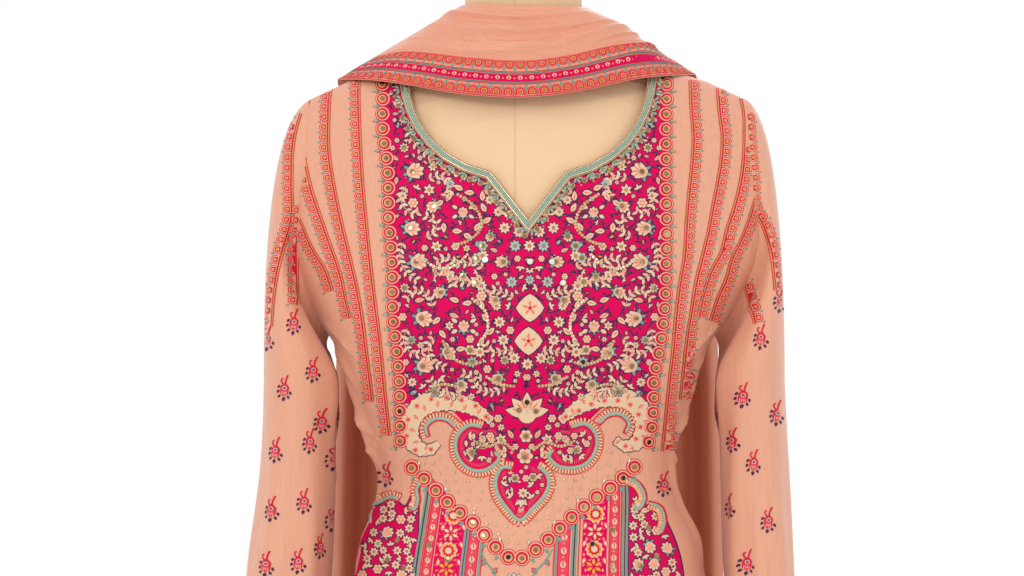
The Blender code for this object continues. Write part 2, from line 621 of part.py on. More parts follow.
def add_cloth(collection, name, grid, finish, wall=WALL, closed=False):
    """A cloth wall: its outer face through the grid's points, its inner face one wall
    thickness inside, and a rim along the edges."""
    points, normal = grid
    rows, columns = points.shape[:2]
    count = rows * columns
    faces = grid_faces(rows, columns, closed)
    edges = {(f[i], f[(i + 1) % 3]) for f in faces for i in range(3)}
    rim = [(b, a, a + count, b + count) for a, b in edges if (b, a) not in edges]
    inner = [tuple(v + count for v in reversed(f)) for f in faces]
    both = np.concatenate([points.reshape(-1, 3), (points - wall * normal).reshape(-1, 3)])
    mesh = bpy.data.meshes.new(name)
    mesh.from_pydata(both.tolist(), [], faces + inner + sorted(rim))
    bm = bmesh.new()
    bm.from_mesh(mesh)
    bmesh.ops.recalc_face_normals(bm, faces=bm.faces)
    bm.to_mesh(mesh)
    bm.free()
    return add_object(collection, name, mesh, finish)


def revolve(name, profile, segments):
    """A solid of revolution about Z from (radius, height) pairs, closed at both ends."""
    turn = np.linspace(0, 2 * np.pi, segments, endpoint=False)[None]
    radius = np.array(profile)[:, :1]
    height = np.array(profile)[:, 1:]
    points = np.stack([radius * np.cos(turn), radius * np.sin(turn), height + 0 * turn], -1)
    return closed_mesh(name, points)


def closed_mesh(name, points):
    """A solid through rings of points, with its first and last ring filled."""
    mesh = bpy.data.meshes.new(name)
    faces = grid_faces(points.shape[0], points.shape[1], closed=True)
    mesh.from_pydata(points.reshape(-1, 3).tolist(), [], faces)
    bm = bmesh.new()
    bm.from_mesh(mesh)
    bmesh.ops.remove_doubles(bm, verts=bm.verts, dist=1e-5)
    bmesh.ops.holes_fill(bm, edges=[e for e in bm.edges if e.is_boundary], sides=0)
    bmesh.ops.recalc_face_normals(bm, faces=bm.faces)
    bm.to_mesh(mesh)
    bm.free()
    return mesh


def add_form(collection, finish):
    """The form's body with its neck joined on."""
    body = add_object(collection, "form_body", closed_mesh("form_body", form_grid()), finish)
    neck = bpy.data.objects.new("neck", revolve("neck", NECK_PROFILE, 32))
    neck.location = (NECK_X, NECK_Y, 0)
    neck.hide_render = True
    neck.display_type = "WIRE"
    collection.objects.link(neck)
    join = body.modifiers.new("neck", "BOOLEAN")
    join.operation = "UNION"
    join.object = neck


def add_stand(collection, steel):
    """A round foot with a socket, and the pole from it to the form."""
    add_object(collection, "stand_base", revolve("stand_base", BASE_PROFILE, 48), steel)
    add_object(collection, "stand_socket", revolve("stand_socket", SOCKET_PROFILE, 24), steel)
    add_object(collection, "stand_pole", revolve("stand_pole", POLE_PROFILE, 20), steel)


def main():
    for old in list(bpy.data.objects):
        bpy.data.objects.remove(old, do_unlink=True)
    suit = bpy.data.collections.new("salwar kameez suit on a dress form")
    bpy.context.scene.collection.children.link(suit)
    peach = material("peach silk", PEACH, 0.6)
    magenta = material("magenta print", MAGENTA, 0.6)
    mint = material("mint cord edging", MINT, 0.5)
    linen = material("linen form", LINEN, 0.8)
    steel = material("stand steel", STEEL, 0.35, 1.0)

    add_form(suit, linen)
    add_stand(suit, steel)
    add_cloth(suit, "kameez_front", panel_grid(-1), magenta)
    add_cloth(suit, "kameez_back", panel_grid(1), peach)
    add_cloth(suit, "neck_edging", neck_trim_grid(), mint, TRIM_WALL)
    for side, name in ((-1, "left"), (1, "right")):
        add_cloth(suit, f"sleeve_{name}", sleeve_grid(side), peach, closed=True)
        add_cloth(suit, f"dupatta_fall_{name}", fall_grid(side), peach, SCARF_WALL)
        add_cloth(suit, f"salwar_leg_{name}", leg_grid(side), peach, TROUSER_WALL)
        add_cloth(suit, f"salwar_cuff_{name}", cuff_grid(side), peach, TROUSER_WALL)
    add_cloth(suit, "dupatta_front", scarf_front_grid(), peach, SCARF_WALL)
    add_cloth(suit, "salwar_waistband", waistband_grid(), peach, TROUSER_WALL, closed=True)


main()
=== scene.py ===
"""Looks of a salwar kameez suit on a limbless dress form.

The cloth's fine surfaces come from the same tables and formulas as its solids. Prints,
cords, mirrors, sequins and beads are laid on them by a point of the front view or by a
point on the cloth itself.
"""

import json
import math

import bpy
import numpy as np
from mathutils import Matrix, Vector
from mathutils.bvhtree import BVHTree

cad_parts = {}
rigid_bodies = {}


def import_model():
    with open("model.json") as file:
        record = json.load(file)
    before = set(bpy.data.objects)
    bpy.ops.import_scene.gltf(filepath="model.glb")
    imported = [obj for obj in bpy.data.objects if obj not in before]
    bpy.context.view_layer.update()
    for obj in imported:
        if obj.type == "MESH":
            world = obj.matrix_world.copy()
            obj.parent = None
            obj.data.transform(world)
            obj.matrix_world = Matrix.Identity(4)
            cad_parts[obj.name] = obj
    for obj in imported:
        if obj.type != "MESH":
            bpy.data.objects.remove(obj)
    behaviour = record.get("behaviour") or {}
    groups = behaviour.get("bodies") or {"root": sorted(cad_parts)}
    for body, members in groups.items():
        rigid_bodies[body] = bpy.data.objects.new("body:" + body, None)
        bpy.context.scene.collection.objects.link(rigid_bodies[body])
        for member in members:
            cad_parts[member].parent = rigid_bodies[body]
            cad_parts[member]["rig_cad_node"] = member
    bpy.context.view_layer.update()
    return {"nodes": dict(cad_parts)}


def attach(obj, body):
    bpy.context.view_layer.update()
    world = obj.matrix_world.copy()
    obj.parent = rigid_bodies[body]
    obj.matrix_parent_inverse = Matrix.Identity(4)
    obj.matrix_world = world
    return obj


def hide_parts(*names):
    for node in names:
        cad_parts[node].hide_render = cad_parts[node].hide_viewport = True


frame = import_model()

# Cloth
WALL = 0.0016
SEAM_GAP = 0.0004

# Heights of the garment's landmarks
BUST_Z = 1.19
ARMPIT_Z = 1.172
FLARE_Z = 1.130
FLARE_HEIGHT = 0.150
HEM_Z = 0.44
SLIT_Z = 0.82
SLIT_SPREAD = 0.010

# Panel widths along the cloth, from its centre line
SIDE_S = 0.245
SHOULDER_TIP_S = 0.207
LOW_NECK_S = 0.148
TOP_SCALE = 0.965
WAIST_ROUNDNESS = 0.85
CHEST_ROUNDNESS = 0.70
SEAM_Y = 0.004

# Shoulder line: height at a distance from the centre
SHOULDER_KNEE_X = 0.164
SHOULDER_KNEE_Z = 1.4045
INNER_SLOPE = 0.30
OUTER_SLOPE = 0.47

# Neckline: a wide scoop with a notch at the centre front
NECK_HALF_WIDTH = 0.109
NECK_DROP = 0.1045
NECK_SQUARE = 2.3
NOTCH_HALF_WIDTH = 0.033
NOTCH_TIP_Z = 1.277
BACK_NECK_Z = 1.378
TRIM_WIDTH = 0.008

# Body of the tunic, outer surface: height, half width, depth to the front and to the
# back, and the sideways shift of the section's centre
BODY_COLUMNS = ("height", "half_width", "front", "back", "shift")
BODY_ROWS = (
    (1.19, 0.164, 0.133, 0.104, -0.007),
    (1.15, 0.159, 0.131, 0.101, -0.006),
    (1.13, 0.156, 0.127, 0.098, -0.006),
    (1.10, 0.146, 0.120, 0.093, -0.005),
    (1.067, 0.136, 0.112, 0.088, -0.004),
    (1.047, 0.134, 0.109, 0.087, -0.001),
    (1.017, 0.140, 0.110, 0.091, 0.002),
    (0.99, 0.153, 0.115, 0.098, 0.003),
    (0.957, 0.160, 0.120, 0.107, 0.001),
    (0.91, 0.168, 0.126, 0.119, 0.000),
    (0.86, 0.174, 0.130, 0.127, 0.000),
    (0.80, 0.181, 0.134, 0.131, 0.000),
    (0.70, 0.196, 0.138, 0.134, 0.000),
    (0.58, 0.216, 0.143, 0.138, 0.000),
    (0.44, 0.240, 0.149, 0.144, 0.000),
)

# Sleeves below the armhole: height, outer and inner edge of each, and half depth
SLEEVE_COLUMNS = ("height", "left_outer", "left_inner", "right_outer", "right_inner", "half_depth")
SLEEVE_ROWS = (
    (1.15, 0.2406, 0.1720, 0.2335, 0.1700, 0.072),
    (1.10, 0.2415, 0.1750, 0.2355, 0.1745, 0.071),
    (1.05, 0.2435, 0.1755, 0.2370, 0.1760, 0.070),
    (0.957, 0.2538, 0.1790, 0.2400, 0.1790, 0.073),
    (0.90, 0.2580, 0.1850, 0.2440, 0.1850, 0.076),
    (0.84, 0.2620, 0.1920, 0.2500, 0.1920, 0.078),
)
SLEEVE_SQUARE = 0.80
CAP_REACH_LEFT = 0.135
CAP_REACH_RIGHT = 0.105
CAP_REACH_ARMPIT = 0.070
CUFF_Z = 0.84

# Folds of a panel: start and end on the cloth, each across and in height, then half
# breadth and height of the ridge. One that runs off the cloth ends past its edge.
FRONT_FOLDS = (
    (-0.232, 1.185, -0.196, 1.035, 0.0085, 0.0050),
    (0.234, 1.175, 0.200, 1.030, 0.0085, 0.0045),
    (-0.205, 1.130, -0.222, 0.940, 0.0090, 0.0035),
    (0.180, 1.120, 0.226, 0.945, 0.0090, 0.0035),
    (-0.212, 0.920, -0.236, 0.100, 0.0220, 0.0100),
    (-0.130, 0.840, -0.166, 0.100, 0.0240, 0.0110),
    (-0.040, 0.800, -0.064, 0.100, 0.0240, 0.0080),
    (0.062, 0.820, 0.054, 0.100, 0.0250, 0.0100),
    (0.145, 0.860, 0.172, 0.100, 0.0230, 0.0110),
    (0.212, 0.920, 0.238, 0.100, 0.0210, 0.0090),
)
BACK_FOLDS = (
    (-0.225, 1.180, -0.180, 1.040, 0.0095, 0.0050),
    (0.222, 1.175, 0.176, 1.035, 0.0095, 0.0050),
    (-0.110, 1.110, -0.090, 0.940, 0.0120, 0.0045),
    (0.100, 1.105, 0.085, 0.930, 0.0120, 0.0045),
    (-0.202, 0.900, -0.232, 0.100, 0.0220, 0.0100),
    (-0.105, 0.840, -0.128, 0.100, 0.0250, 0.0110),
    (0.004, 0.820, -0.012, 0.100, 0.0260, 0.0090),
    (0.112, 0.850, 0.130, 0.100, 0.0240, 0.0110),
    (0.204, 0.900, 0.236, 0.100, 0.0210, 0.0090),
)
# On a sleeve the first figure is degrees round from the outer side towards the front
LEFT_SLEEVE_FOLDS = (
    (128, 1.240, 150, 1.070, 15, 0.0050),
    (70, 1.140, 58, 0.600, 14, 0.0040),
    (118, 1.080, 106, 0.600, 13, 0.0045),
    (18, 1.120, 28, 0.600, 12, 0.0035),
    (238, 1.200, 214, 1.060, 15, 0.0045),
    (285, 1.090, 296, 0.600, 15, 0.0045),
)
RIGHT_SLEEVE_FOLDS = (
    (126, 1.250, 146, 1.060, 15, 0.0050),
    (112, 1.180, 148, 0.700, 13, 0.0055),
    (60, 1.090, 48, 0.600, 14, 0.0040),
    (16, 1.130, 24, 0.600, 12, 0.0035),
    (236, 1.210, 212, 1.070, 15, 0.0045),
    (282, 1.100, 294, 0.600, 15, 0.0045),
)

# Scarf across the front, from the left shoulder's crest to the right one's: its lower
# edge, its upper edge at the neck, and how far the cloth between them bows outwards
SCARF_COLUMNS = ("along", "low_x", "low_y", "low_z", "top_x", "top_y", "top_z", "bow")
SCARF_ROWS = (
    (-1.00, -0.174, 0.010, 1.4072, -0.0620, 0.004, 1.4735, 0.000),
    (-0.75, -0.142, -0.030, 1.4045, -0.0580, -0.018, 1.4730, 0.004),
    (-0.50, -0.106, -0.052, 1.3985, -0.0470, -0.041, 1.4725, 0.008),
    (-0.25, -0.057, -0.071, 1.3895, -0.0270, -0.056, 1.4710, 0.010),
    (0.00, -0.004, -0.080, 1.3866, -0.0040, -0.062, 1.4700, 0.010),
    (0.25, 0.047, -0.073, 1.3925, 0.0190, -0.056, 1.4700, 0.012),
    (0.50, 0.094, -0.055, 1.4035, 0.0400, -0.041, 1.4705, 0.013),
    (0.75, 0.127, -0.029, 1.4085, 0.0510, -0.018, 1.4710, 0.010),
    (1.00, 0.154, 0.010, 1.4115, 0.0560, 0.004, 1.4715, 0.000),
)
# Folds across the scarf: up from its lower edge, along
SCARF_FOLDS = (
    (0.84, -0.99, 0.86, 0.75, 0.085, 0.0050),
    (0.62, -0.90, 0.72, 0.50, 0.070, 0.0045),
    (0.50, -0.35, 0.58, 0.95, 0.065, 0.0040),
    (0.40, -0.98, 0.47, 0.05, 0.055, 0.0030),
    (0.20, 0.40, 0.38, 0.99, 0.060, 0.0035),
)

# One end of the scarf down the back: share of its length, distance from the middle of
# its inner and outer edges, with their depth and height, and the depth of its pleats
FALL_COLUMNS = ("down", "in_x", "in_y", "in_z", "out_x", "out_y", "out_z", "pleat")
FALL_ROWS = (
    (0.00, 0.0580, 0.004, 1.4722, 0.163, 0.010, 1.4060, 0.0000),
    (0.08, 0.0600, 0.050, 1.4520, 0.166, 0.046, 1.3920, 0.0030),
    (0.18, 0.0540, 0.096, 1.3950, 0.169, 0.084, 1.3500, 0.0060),
    (0.32, 0.0400, 0.122, 1.2700, 0.174, 0.104, 1.2500, 0.0080),
    (0.52, 0.0300, 0.132, 1.0600, 0.181, 0.114, 1.0500, 0.0090),
    (0.75, 0.0280, 0.146, 0.8400, 0.186, 0.136, 0.8350, 0.0095),
    (1.00, 0.0300, 0.160, 0.5600, 0.192, 0.150, 0.5550, 0.0100),
)
FALL_PLEATS = 4

# Trousers inside the tunic, and their legs below the crotch
TROUSER_INSET = 0.0062
WAISTBAND_TOP_Z = 1.050
WAISTBAND_LOW_Z = 1.012
CROTCH_HIGH_Z = 0.740
CROTCH_LOW_Z = 0.655
CROTCH_X = 0.024
ANKLE_Z = 0.135
CUFF_LOW_Z = 0.095
LEG_COLUMNS = ("height", "inner", "outer_left", "outer_right", "half_depth")
LEG_ROWS = (
    (1.012, 0.000, 0.130, 0.130, 0.110),
    (0.740, 0.018, 0.164, 0.172, 0.112),
    (0.655, 0.024, 0.152, 0.186, 0.100),
    (0.500, 0.024, 0.142, 0.184, 0.088),
    (0.300, 0.024, 0.130, 0.174, 0.072),
    (0.135, 0.024, 0.116, 0.162, 0.058),
    (0.095, 0.024, 0.116, 0.162, 0.058),
)
LEG_FOLDS = (
    (0.30, 0.740, 0.27, 0.100, 0.045, 0.0080),
    (0.47, 0.720, 0.45, 0.100, 0.040, 0.0070),
    (0.66, 0.740, 0.68, 0.100, 0.045, 0.0080),
    (0.12, 0.600, 0.14, 0.100, 0.040, 0.0060),
    (0.86, 0.600, 0.85, 0.100, 0.040, 0.0060),
)

# Lowest height of the dress form's body
FORM_LOW_Z = 0.815

# Columns and rows of a panel, and the levels where sleeves and legs start and end
NOTCH_STEPS, SCOOP_STEPS, SHOULDER_STEPS, ARMHOLE_STEPS = 2, 9, 3, 9
YOKE_ROWS = 7
BODY_LEVELS = (1.13, 1.095, 1.06, 1.025, 0.99, 0.94, 0.88, 0.80, 0.69, 0.57, 0.44)
SLEEVE_RING_Z = 1.13
LEG_TOP_Z = 1.0116
LEG_LOW_Z = 0.1354

# The photo's scale: metres a pixel in a plane across the chest, with its depth, the
# column of x = 0 and the height of row 0
PIXEL = 0.0009
PLANE_Y = -0.06
MIDDLE_COLUMN = 528
TOP_Z = 1.475
EYE = Vector((-0.0144, -4.06, 1.2158))
EYE_DISTANCE = 4.0
PICTURE_WIDTH = 0.9216

# Thickness of the cloth walls in the scene
CLOTH_WALL = 0.0009
SCARF_WALL = 0.0007
CUFF_WALL = 0.0012


def table(columns, rows):
    """A table's columns as arrays, by name, in rising order of the first one."""
    values = np.array(sorted(rows), float)
    return {name: values[:, i] for i, name in enumerate(columns)}


BODY = table(BODY_COLUMNS, BODY_ROWS)
SLEEVE = table(SLEEVE_COLUMNS, SLEEVE_ROWS)
SCARF = table(SCARF_COLUMNS, SCARF_ROWS)
FALL = table(FALL_COLUMNS, FALL_ROWS)
LEG = table(LEG_COLUMNS, LEG_ROWS)


def smooth(t):
    """An even step from 0 to 1 with soft ends."""
    t = np.clip(t, 0, 1)
    return t * t * (3 - 2 * t)


def mix(a, b, t):
    """From a to b by the share t."""
    return a + (b - a) * t


def lengths(points):
    """How far along a line each of its points lies."""
    steps = np.linalg.norm(np.diff(points, axis=0), axis=1)
    return np.concatenate([[0], np.cumsum(steps)])


def unit(vectors, least=0.0):
    """The vectors at length 1; those shorter than the least stay short."""
    size = np.linalg.norm(vectors, axis=-1, keepdims=True)
    return vectors / np.maximum(size, least)


def curve(knots, values, x):
    """A smooth curve through a table's values (cubic, with the neighbours' slopes)."""
    slopes = np.gradient(values, knots)
    x = np.clip(x, knots[0], knots[-1])
    i = np.clip(np.searchsorted(knots, x) - 1, 0, len(knots) - 2)
    span = knots[i + 1] - knots[i]
    t = (x - knots[i]) / span
    a = (1 + 2 * t) * (1 - t) ** 2 * values[i] + t**2 * (3 - 2 * t) * values[i + 1]
    return a + span * (t * (1 - t) ** 2 * slopes[i] - t**2 * (1 - t) * slopes[i + 1])


def read(data, name, x):
    """A table's column by its first column."""
    first = next(iter(data))
    return curve(data[first], data[name], x)


def ridges(folds, across, down):
    """How far the folds lift the cloth at each point."""
    lift = np.zeros(np.broadcast(across, down).shape)
    for across_0, down_0, across_1, down_1, breadth, ridge in folds:
        t = (down - down_0) / (down_1 - down_0)
        off = (across - mix(across_0, across_1, t)) / breadth
        taper = smooth(t / 0.3) * smooth((1 - t) / 0.3)
        lift = lift + ridge * np.exp(-(off**2)) * taper
    return lift


def shoulder_height(x):
    """Height of the shoulder line over a point x from the middle."""
    out = np.abs(x) - SHOULDER_KNEE_X
    return SHOULDER_KNEE_Z - np.where(out < 0, INNER_SLOPE, OUTER_SLOPE) * out


def section_power(z):
    """How square the body's section is at height z: 1 is an ellipse, less is squarer."""
    return mix(WAIST_ROUNDNESS, CHEST_ROUNDNESS, smooth((z - 1.05) / 0.14))


def body_section(s, z, depth_name):
    """Width and depth of the body's section at cloth distance s and height z."""
    half_width = read(BODY, "half_width", z)
    depth = read(BODY, depth_name, z)
    q = np.clip(np.abs(s) / SIDE_S, 0, 1)
    slope = 2 * SIDE_S / (np.pi * half_width)
    angle = 0.5 * np.pi * np.clip(slope * q + (1 - slope) * q**3, 0, 1)
    return half_width * np.sin(angle), depth * np.cos(angle) ** section_power(z)


def panel(s, z, facing):
    """A point of the front (facing -1) or back (+1) panel, at cloth distance s from its
    centre line and height z."""
    s, z = np.broadcast_arrays(np.asarray(s, float), np.asarray(z, float))
    low_z = np.minimum(z, BUST_Z)
    width, depth = body_section(s, low_z, "front" if facing < 0 else "back")
    top_x = TOP_SCALE * np.abs(s)
    crest = shoulder_height(top_x)
    z = np.minimum(z, crest)
    roundness = mix(1.5 if facing < 0 else 1.7, 1.9, smooth(top_x / 0.15))
    fall = np.clip((crest - z) / (crest - BUST_Z), 0, 1)
    profile = (1 - (1 - fall) ** roundness) ** (1 / roundness)
    above = z > BUST_Z
    y = facing * np.where(above, profile * (depth - facing * SEAM_Y) + facing * SEAM_Y, depth)
    spread = SLIT_SPREAD * smooth((SLIT_Z - z) / (SLIT_Z - HEM_Z)) + SEAM_GAP
    y = y + facing * smooth(1 - np.where(above, profile, 1) * depth / 0.05) * spread
    rise = smooth((z - FLARE_Z) / FLARE_HEIGHT)
    x = np.sign(s) * mix(width, top_x, rise) + read(BODY, "shift", low_z) * (1 - rise)
    return np.stack([x, y, z], -1)


def panel_normals(s, z, facing):
    """Outward unit normals of a panel, level with the seam along its seams."""
    crest = shoulder_height(TOP_SCALE * np.abs(s))
    at_z = np.minimum(z, crest - 0.002)
    step = 0.0005
    across = panel(s + step, at_z, facing) - panel(s - step, at_z, facing)
    down = panel(s, at_z - step, facing) - panel(s, at_z + step, facing)
    normal = facing * np.cross(across, down)
    seam = (np.abs(s) > SIDE_S - 1e-6) | (z > crest - 1e-6)
    normal[..., 1] = np.where(seam, 0, normal[..., 1])
    return unit(normal)


def grid_normals(points, closed=False, outward=1):
    """Unit normals of a grid of points, from its neighbours."""
    if closed:
        around = np.roll(points, -1, 1) - np.roll(points, 1, 1)
    else:
        around = np.gradient(points, axis=1)
    normal = outward * np.cross(around, np.gradient(points, axis=0))
    return unit(normal, 1e-12)


def armhole_edge(steps=ARMHOLE_STEPS):
    """The armhole from the shoulder's tip to the armpit, as (s, z)."""
    q = np.linspace(0, 1, steps + 1)
    tip_z = shoulder_height(TOP_SCALE * SHOULDER_TIP_S)
    return mix(SHOULDER_TIP_S, SIDE_S, q**2), mix(tip_z, ARMPIT_Z, q**0.9)


def neckline_edge(facing):
    """A panel's top edge from the neck's centre to the armpit, as (s, z), and the
    number of its point where the neckline meets the shoulder."""
    neck_top_z = shoulder_height(NECK_HALF_WIDTH)
    if facing < 0:
        notch_x = np.linspace(0, NOTCH_HALF_WIDTH, NOTCH_STEPS + 1)[:-1]
        across = (NOTCH_HALF_WIDTH / NECK_HALF_WIDTH) ** (NECK_SQUARE / 2)
        near = (1 - np.linspace(0, 1, SCOOP_STEPS + 1)[:-1]) ** 1.5
        turn = mix(np.pi / 2, np.arcsin(across), near)
        scoop_x = NECK_HALF_WIDTH * np.sin(turn) ** (2 / NECK_SQUARE)
        scoop_z = neck_top_z - NECK_DROP * np.cos(turn) ** (2 / NECK_SQUARE)
        notch_z = mix(NOTCH_TIP_Z, scoop_z[0], notch_x / NOTCH_HALF_WIDTH)
        neck_x = np.concatenate([notch_x, scoop_x])
        neck_z = np.concatenate([notch_z, scoop_z])
    else:
        turn = np.linspace(0, np.pi / 2, NOTCH_STEPS + SCOOP_STEPS - 2)[:-1]
        neck_x = NECK_HALF_WIDTH * np.sin(turn)
        neck_z = mix(neck_top_z, BACK_NECK_Z, np.cos(turn))
    x = np.linspace(NECK_HALF_WIDTH, SHOULDER_KNEE_X, SHOULDER_STEPS)
    s, z = armhole_edge()
    return (
        np.concatenate([neck_x / TOP_SCALE, x / TOP_SCALE, s]),
        np.concatenate([neck_z, shoulder_height(x), z]),
        len(neck_x),
    )


def inside_edge(s, z, width):
    """The line that runs inside the cloth at a width from its edge."""
    s = np.concatenate([[-s[1]], s])
    z = np.concatenate([[z[1]], z])
    along = np.stack([np.diff(s), np.diff(z)], -1)
    along = unit(along)
    across = np.stack([along[:, 1], -along[:, 0]], -1)
    before, after = across, np.concatenate([across[1:], across[-1:]])
    turn = 1 + np.sum(before * after, axis=1, keepdims=True)
    offset = width * (before + after) / np.maximum(turn, 0.35)
    return s[1:] + offset[:, 0], z[1:] + offset[:, 1]


def panel_rows(facing):
    """Cloth distances and heights of a panel in rows, from its top edge down."""
    s, z, corner = neckline_edge(facing)
    chord = np.concatenate([[0], np.cumsum(np.hypot(np.diff(s), np.diff(z)))])
    neck_s = LOW_NECK_S * chord[: corner + 1] / chord[corner]
    low_s = np.concatenate([neck_s, np.linspace(LOW_NECK_S, SIDE_S, len(s) - corner)[1:]])
    in_s, in_z = inside_edge(s, z, TRIM_WIDTH)
    in_s[0], in_s[-1] = 0, SIDE_S
    in_z[-1] = z[-1] - TRIM_WIDTH
    shoulder = slice(corner, corner + SHOULDER_STEPS + 1)
    in_s[shoulder] = s[shoulder]
    in_s[corner] += 2 * TRIM_WIDTH
    in_s[corner + SHOULDER_STEPS] -= TRIM_WIDTH
    in_z[shoulder] = shoulder_height(TOP_SCALE * in_s[shoulder]) - WALL
    even = np.linspace(0, 1, YOKE_ROWS)[:, None]
    low = np.clip((s - SHOULDER_TIP_S) / (SIDE_S - SHOULDER_TIP_S), 0, 1)
    t = mix(1 - np.cos(even * np.pi / 2), even, low)
    levels = np.array(BODY_LEVELS[1:])[:, None] * np.ones(len(s))
    rows_s = np.concatenate([s[None], mix(in_s, low_s, t**0.6), 0 * levels + low_s])
    rows_z = np.concatenate([z[None], mix(in_z, BODY_LEVELS[0], t), levels])
    rows_s = np.concatenate([-rows_s[:, :0:-1], rows_s], 1)
    rows_z = np.concatenate([rows_z[:, :0:-1], rows_z], 1)
    return rows_s, rows_z


def sleeve_points(side, steps, cap_rows, sleeve_levels):
    """A sleeve as rings, from the armhole down to the cuff; side is -1 or 1."""
    s, z = armhole_edge(steps)
    front = panel(side * s, z, -1)
    back = panel(side * s[1:-1], z[1:-1], 1)
    top = np.concatenate([front, back[::-1]])
    turn = np.linspace(0, 2 * np.pi, len(top), endpoint=False)
    over = np.cos(turn / 2) ** 2
    start = np.stack([side * (0.45 + 0.42 * over), -0.25 * np.sin(turn), -0.75 + 0.25 * over], -1)
    start = unit(start)
    seam = panel_normals(side * s, z, -1)
    seam = np.concatenate([seam, panel_normals(side * s[1:-1], z[1:-1], 1)[::-1]])
    away = side * np.cross(seam, np.roll(top, -1, 0) - np.roll(top, 1, 0))
    away = unit(away)
    top = top + away * 0.5 * SEAM_GAP
    low = sleeve_ring(side, turn, sleeve_levels[0])
    reach = np.linalg.norm(low - top, axis=1, keepdims=True)
    t = np.linspace(0, 1, cap_rows + 1)[:-1, None, None]
    cap_reach = CAP_REACH_LEFT if side < 0 else CAP_REACH_RIGHT
    lead_in = start * np.minimum(reach, mix(CAP_REACH_ARMPIT, cap_reach, over[:, None]))
    lead_out = np.array([0, 0, -1.1]) * reach
    cap = (
        (1 + 2 * t) * (1 - t) ** 2 * top
        + t**2 * (3 - 2 * t) * low
        + t * (1 - t) ** 2 * lead_in
        - t**2 * (1 - t) * lead_out
    )
    levels = np.array(sleeve_levels)[:, None]
    return np.concatenate([cap, sleeve_ring(side, turn[None], levels)])


def sleeve_ring(side, turn, z):
    """Points round a sleeve at height z, from its outer edge towards the front."""
    name = "left" if side < 0 else "right"
    outer = read(SLEEVE, f"{name}_outer", z)
    inner = read(SLEEVE, f"{name}_inner", z)
    across = np.sign(np.cos(turn)) * np.abs(np.cos(turn)) ** SLEEVE_SQUARE
    x = side * ((outer + inner) / 2 + (outer - inner) / 2 * across)
    return np.stack([x, -read(SLEEVE, "half_depth", z) * np.sin(turn), z + 0 * turn], -1)


def scarf_front_grid(columns, rows):
    """The scarf across the front of the neck, from shoulder crest to shoulder crest."""
    along = np.linspace(-1, 1, columns + 1)[None]
    up = np.linspace(0, 1, rows + 1)[:, None]
    low = np.stack([read(SCARF, n, along) for n in ("low_x", "low_y", "low_z")], -1)
    top = np.stack([read(SCARF, n, along) for n in ("top_x", "top_y", "top_z")], -1)
    points = mix(low, top, up[..., None])
    bow = read(SCARF, "bow", along) * np.sin(np.pi * up)
    ends = smooth((1 - np.abs(along)) / 0.15)
    folds = ridges(SCARF_FOLDS, up + 0 * along, along + 0 * up) * ends
    points = points + (bow + folds)[..., None] * grid_normals(points)
    return points, grid_normals(points)


def fall_grid(side, columns, rows):
    """One end of the scarf, from the shoulder's crest down the back to its hem."""
    down = np.linspace(0, 1, rows + 1)[:, None] ** 1.3
    across = np.linspace(0, 1, columns + 1)[None]
    inner = np.stack([read(FALL, n, down) for n in ("in_x", "in_y", "in_z")], -1)
    outer = np.stack([read(FALL, n, down) for n in ("out_x", "out_y", "out_z")], -1)
    points = mix(inner, outer, across[..., None])
    edge = SCARF_ROWS[0] if side < 0 else SCARF_ROWS[-1]
    crest = mix(np.array(edge[4:7]), np.array(edge[1:4]), across.T)
    points[..., 0] *= side
    near = smooth(1 - down / 0.15)[..., None]
    straight = points[:1].copy()
    points = points + (crest[None] + np.array([0, 3 * SEAM_GAP, 0]) - straight) * near
    pleat = read(FALL, "pleat", down) * (1 + np.sin(2 * np.pi * FALL_PLEATS * across))
    points = points + pleat[..., None] * grid_normals(points, outward=side)
    return points, grid_normals(points, outward=side)


def leg_points(side, share, z):
    """A trouser leg's points: half of the seat above the crotch, a tube below it. The
    share runs from the front seam (0) round the outside to the back seam (1)."""
    share, z = np.broadcast_arrays(share, z)
    turn = np.pi * share
    depth_z = np.maximum(z, FORM_LOW_Z - 0.04)
    depth = np.where(turn < np.pi / 2, read(BODY, "front", depth_z), read(BODY, "back", depth_z))
    depth = depth - TROUSER_INSET
    half_width = read(BODY, "half_width", z) - TROUSER_INSET
    seam = SEAM_GAP * side
    middle = read(LEG, "inner", z) + seam
    outer_x = side * half_width + read(BODY, "shift", z)
    seat_x = middle + (outer_x - middle) * np.sin(turn)
    facing = np.where(turn < np.pi / 2, -1, 1)
    seat_y = facing * depth * np.abs(np.cos(turn)) ** section_power(z)
    outer = side * read(LEG, "outer_left" if side < 0 else "outer_right", z)
    inner = CROTCH_X + seam
    around = mix(0.01, 2 * np.pi - 0.01, share)
    leg_x = (outer + inner) / 2 - (outer - inner) / 2 * np.cos(around)
    leg_y = -read(LEG, "half_depth", z) * np.sin(around)
    split = smooth((CROTCH_HIGH_Z + 0.03 - z) / (CROTCH_HIGH_Z + 0.03 - CROTCH_LOW_Z))
    return np.stack([mix(seat_x, leg_x, split), mix(seat_y, leg_y, split), z], -1)


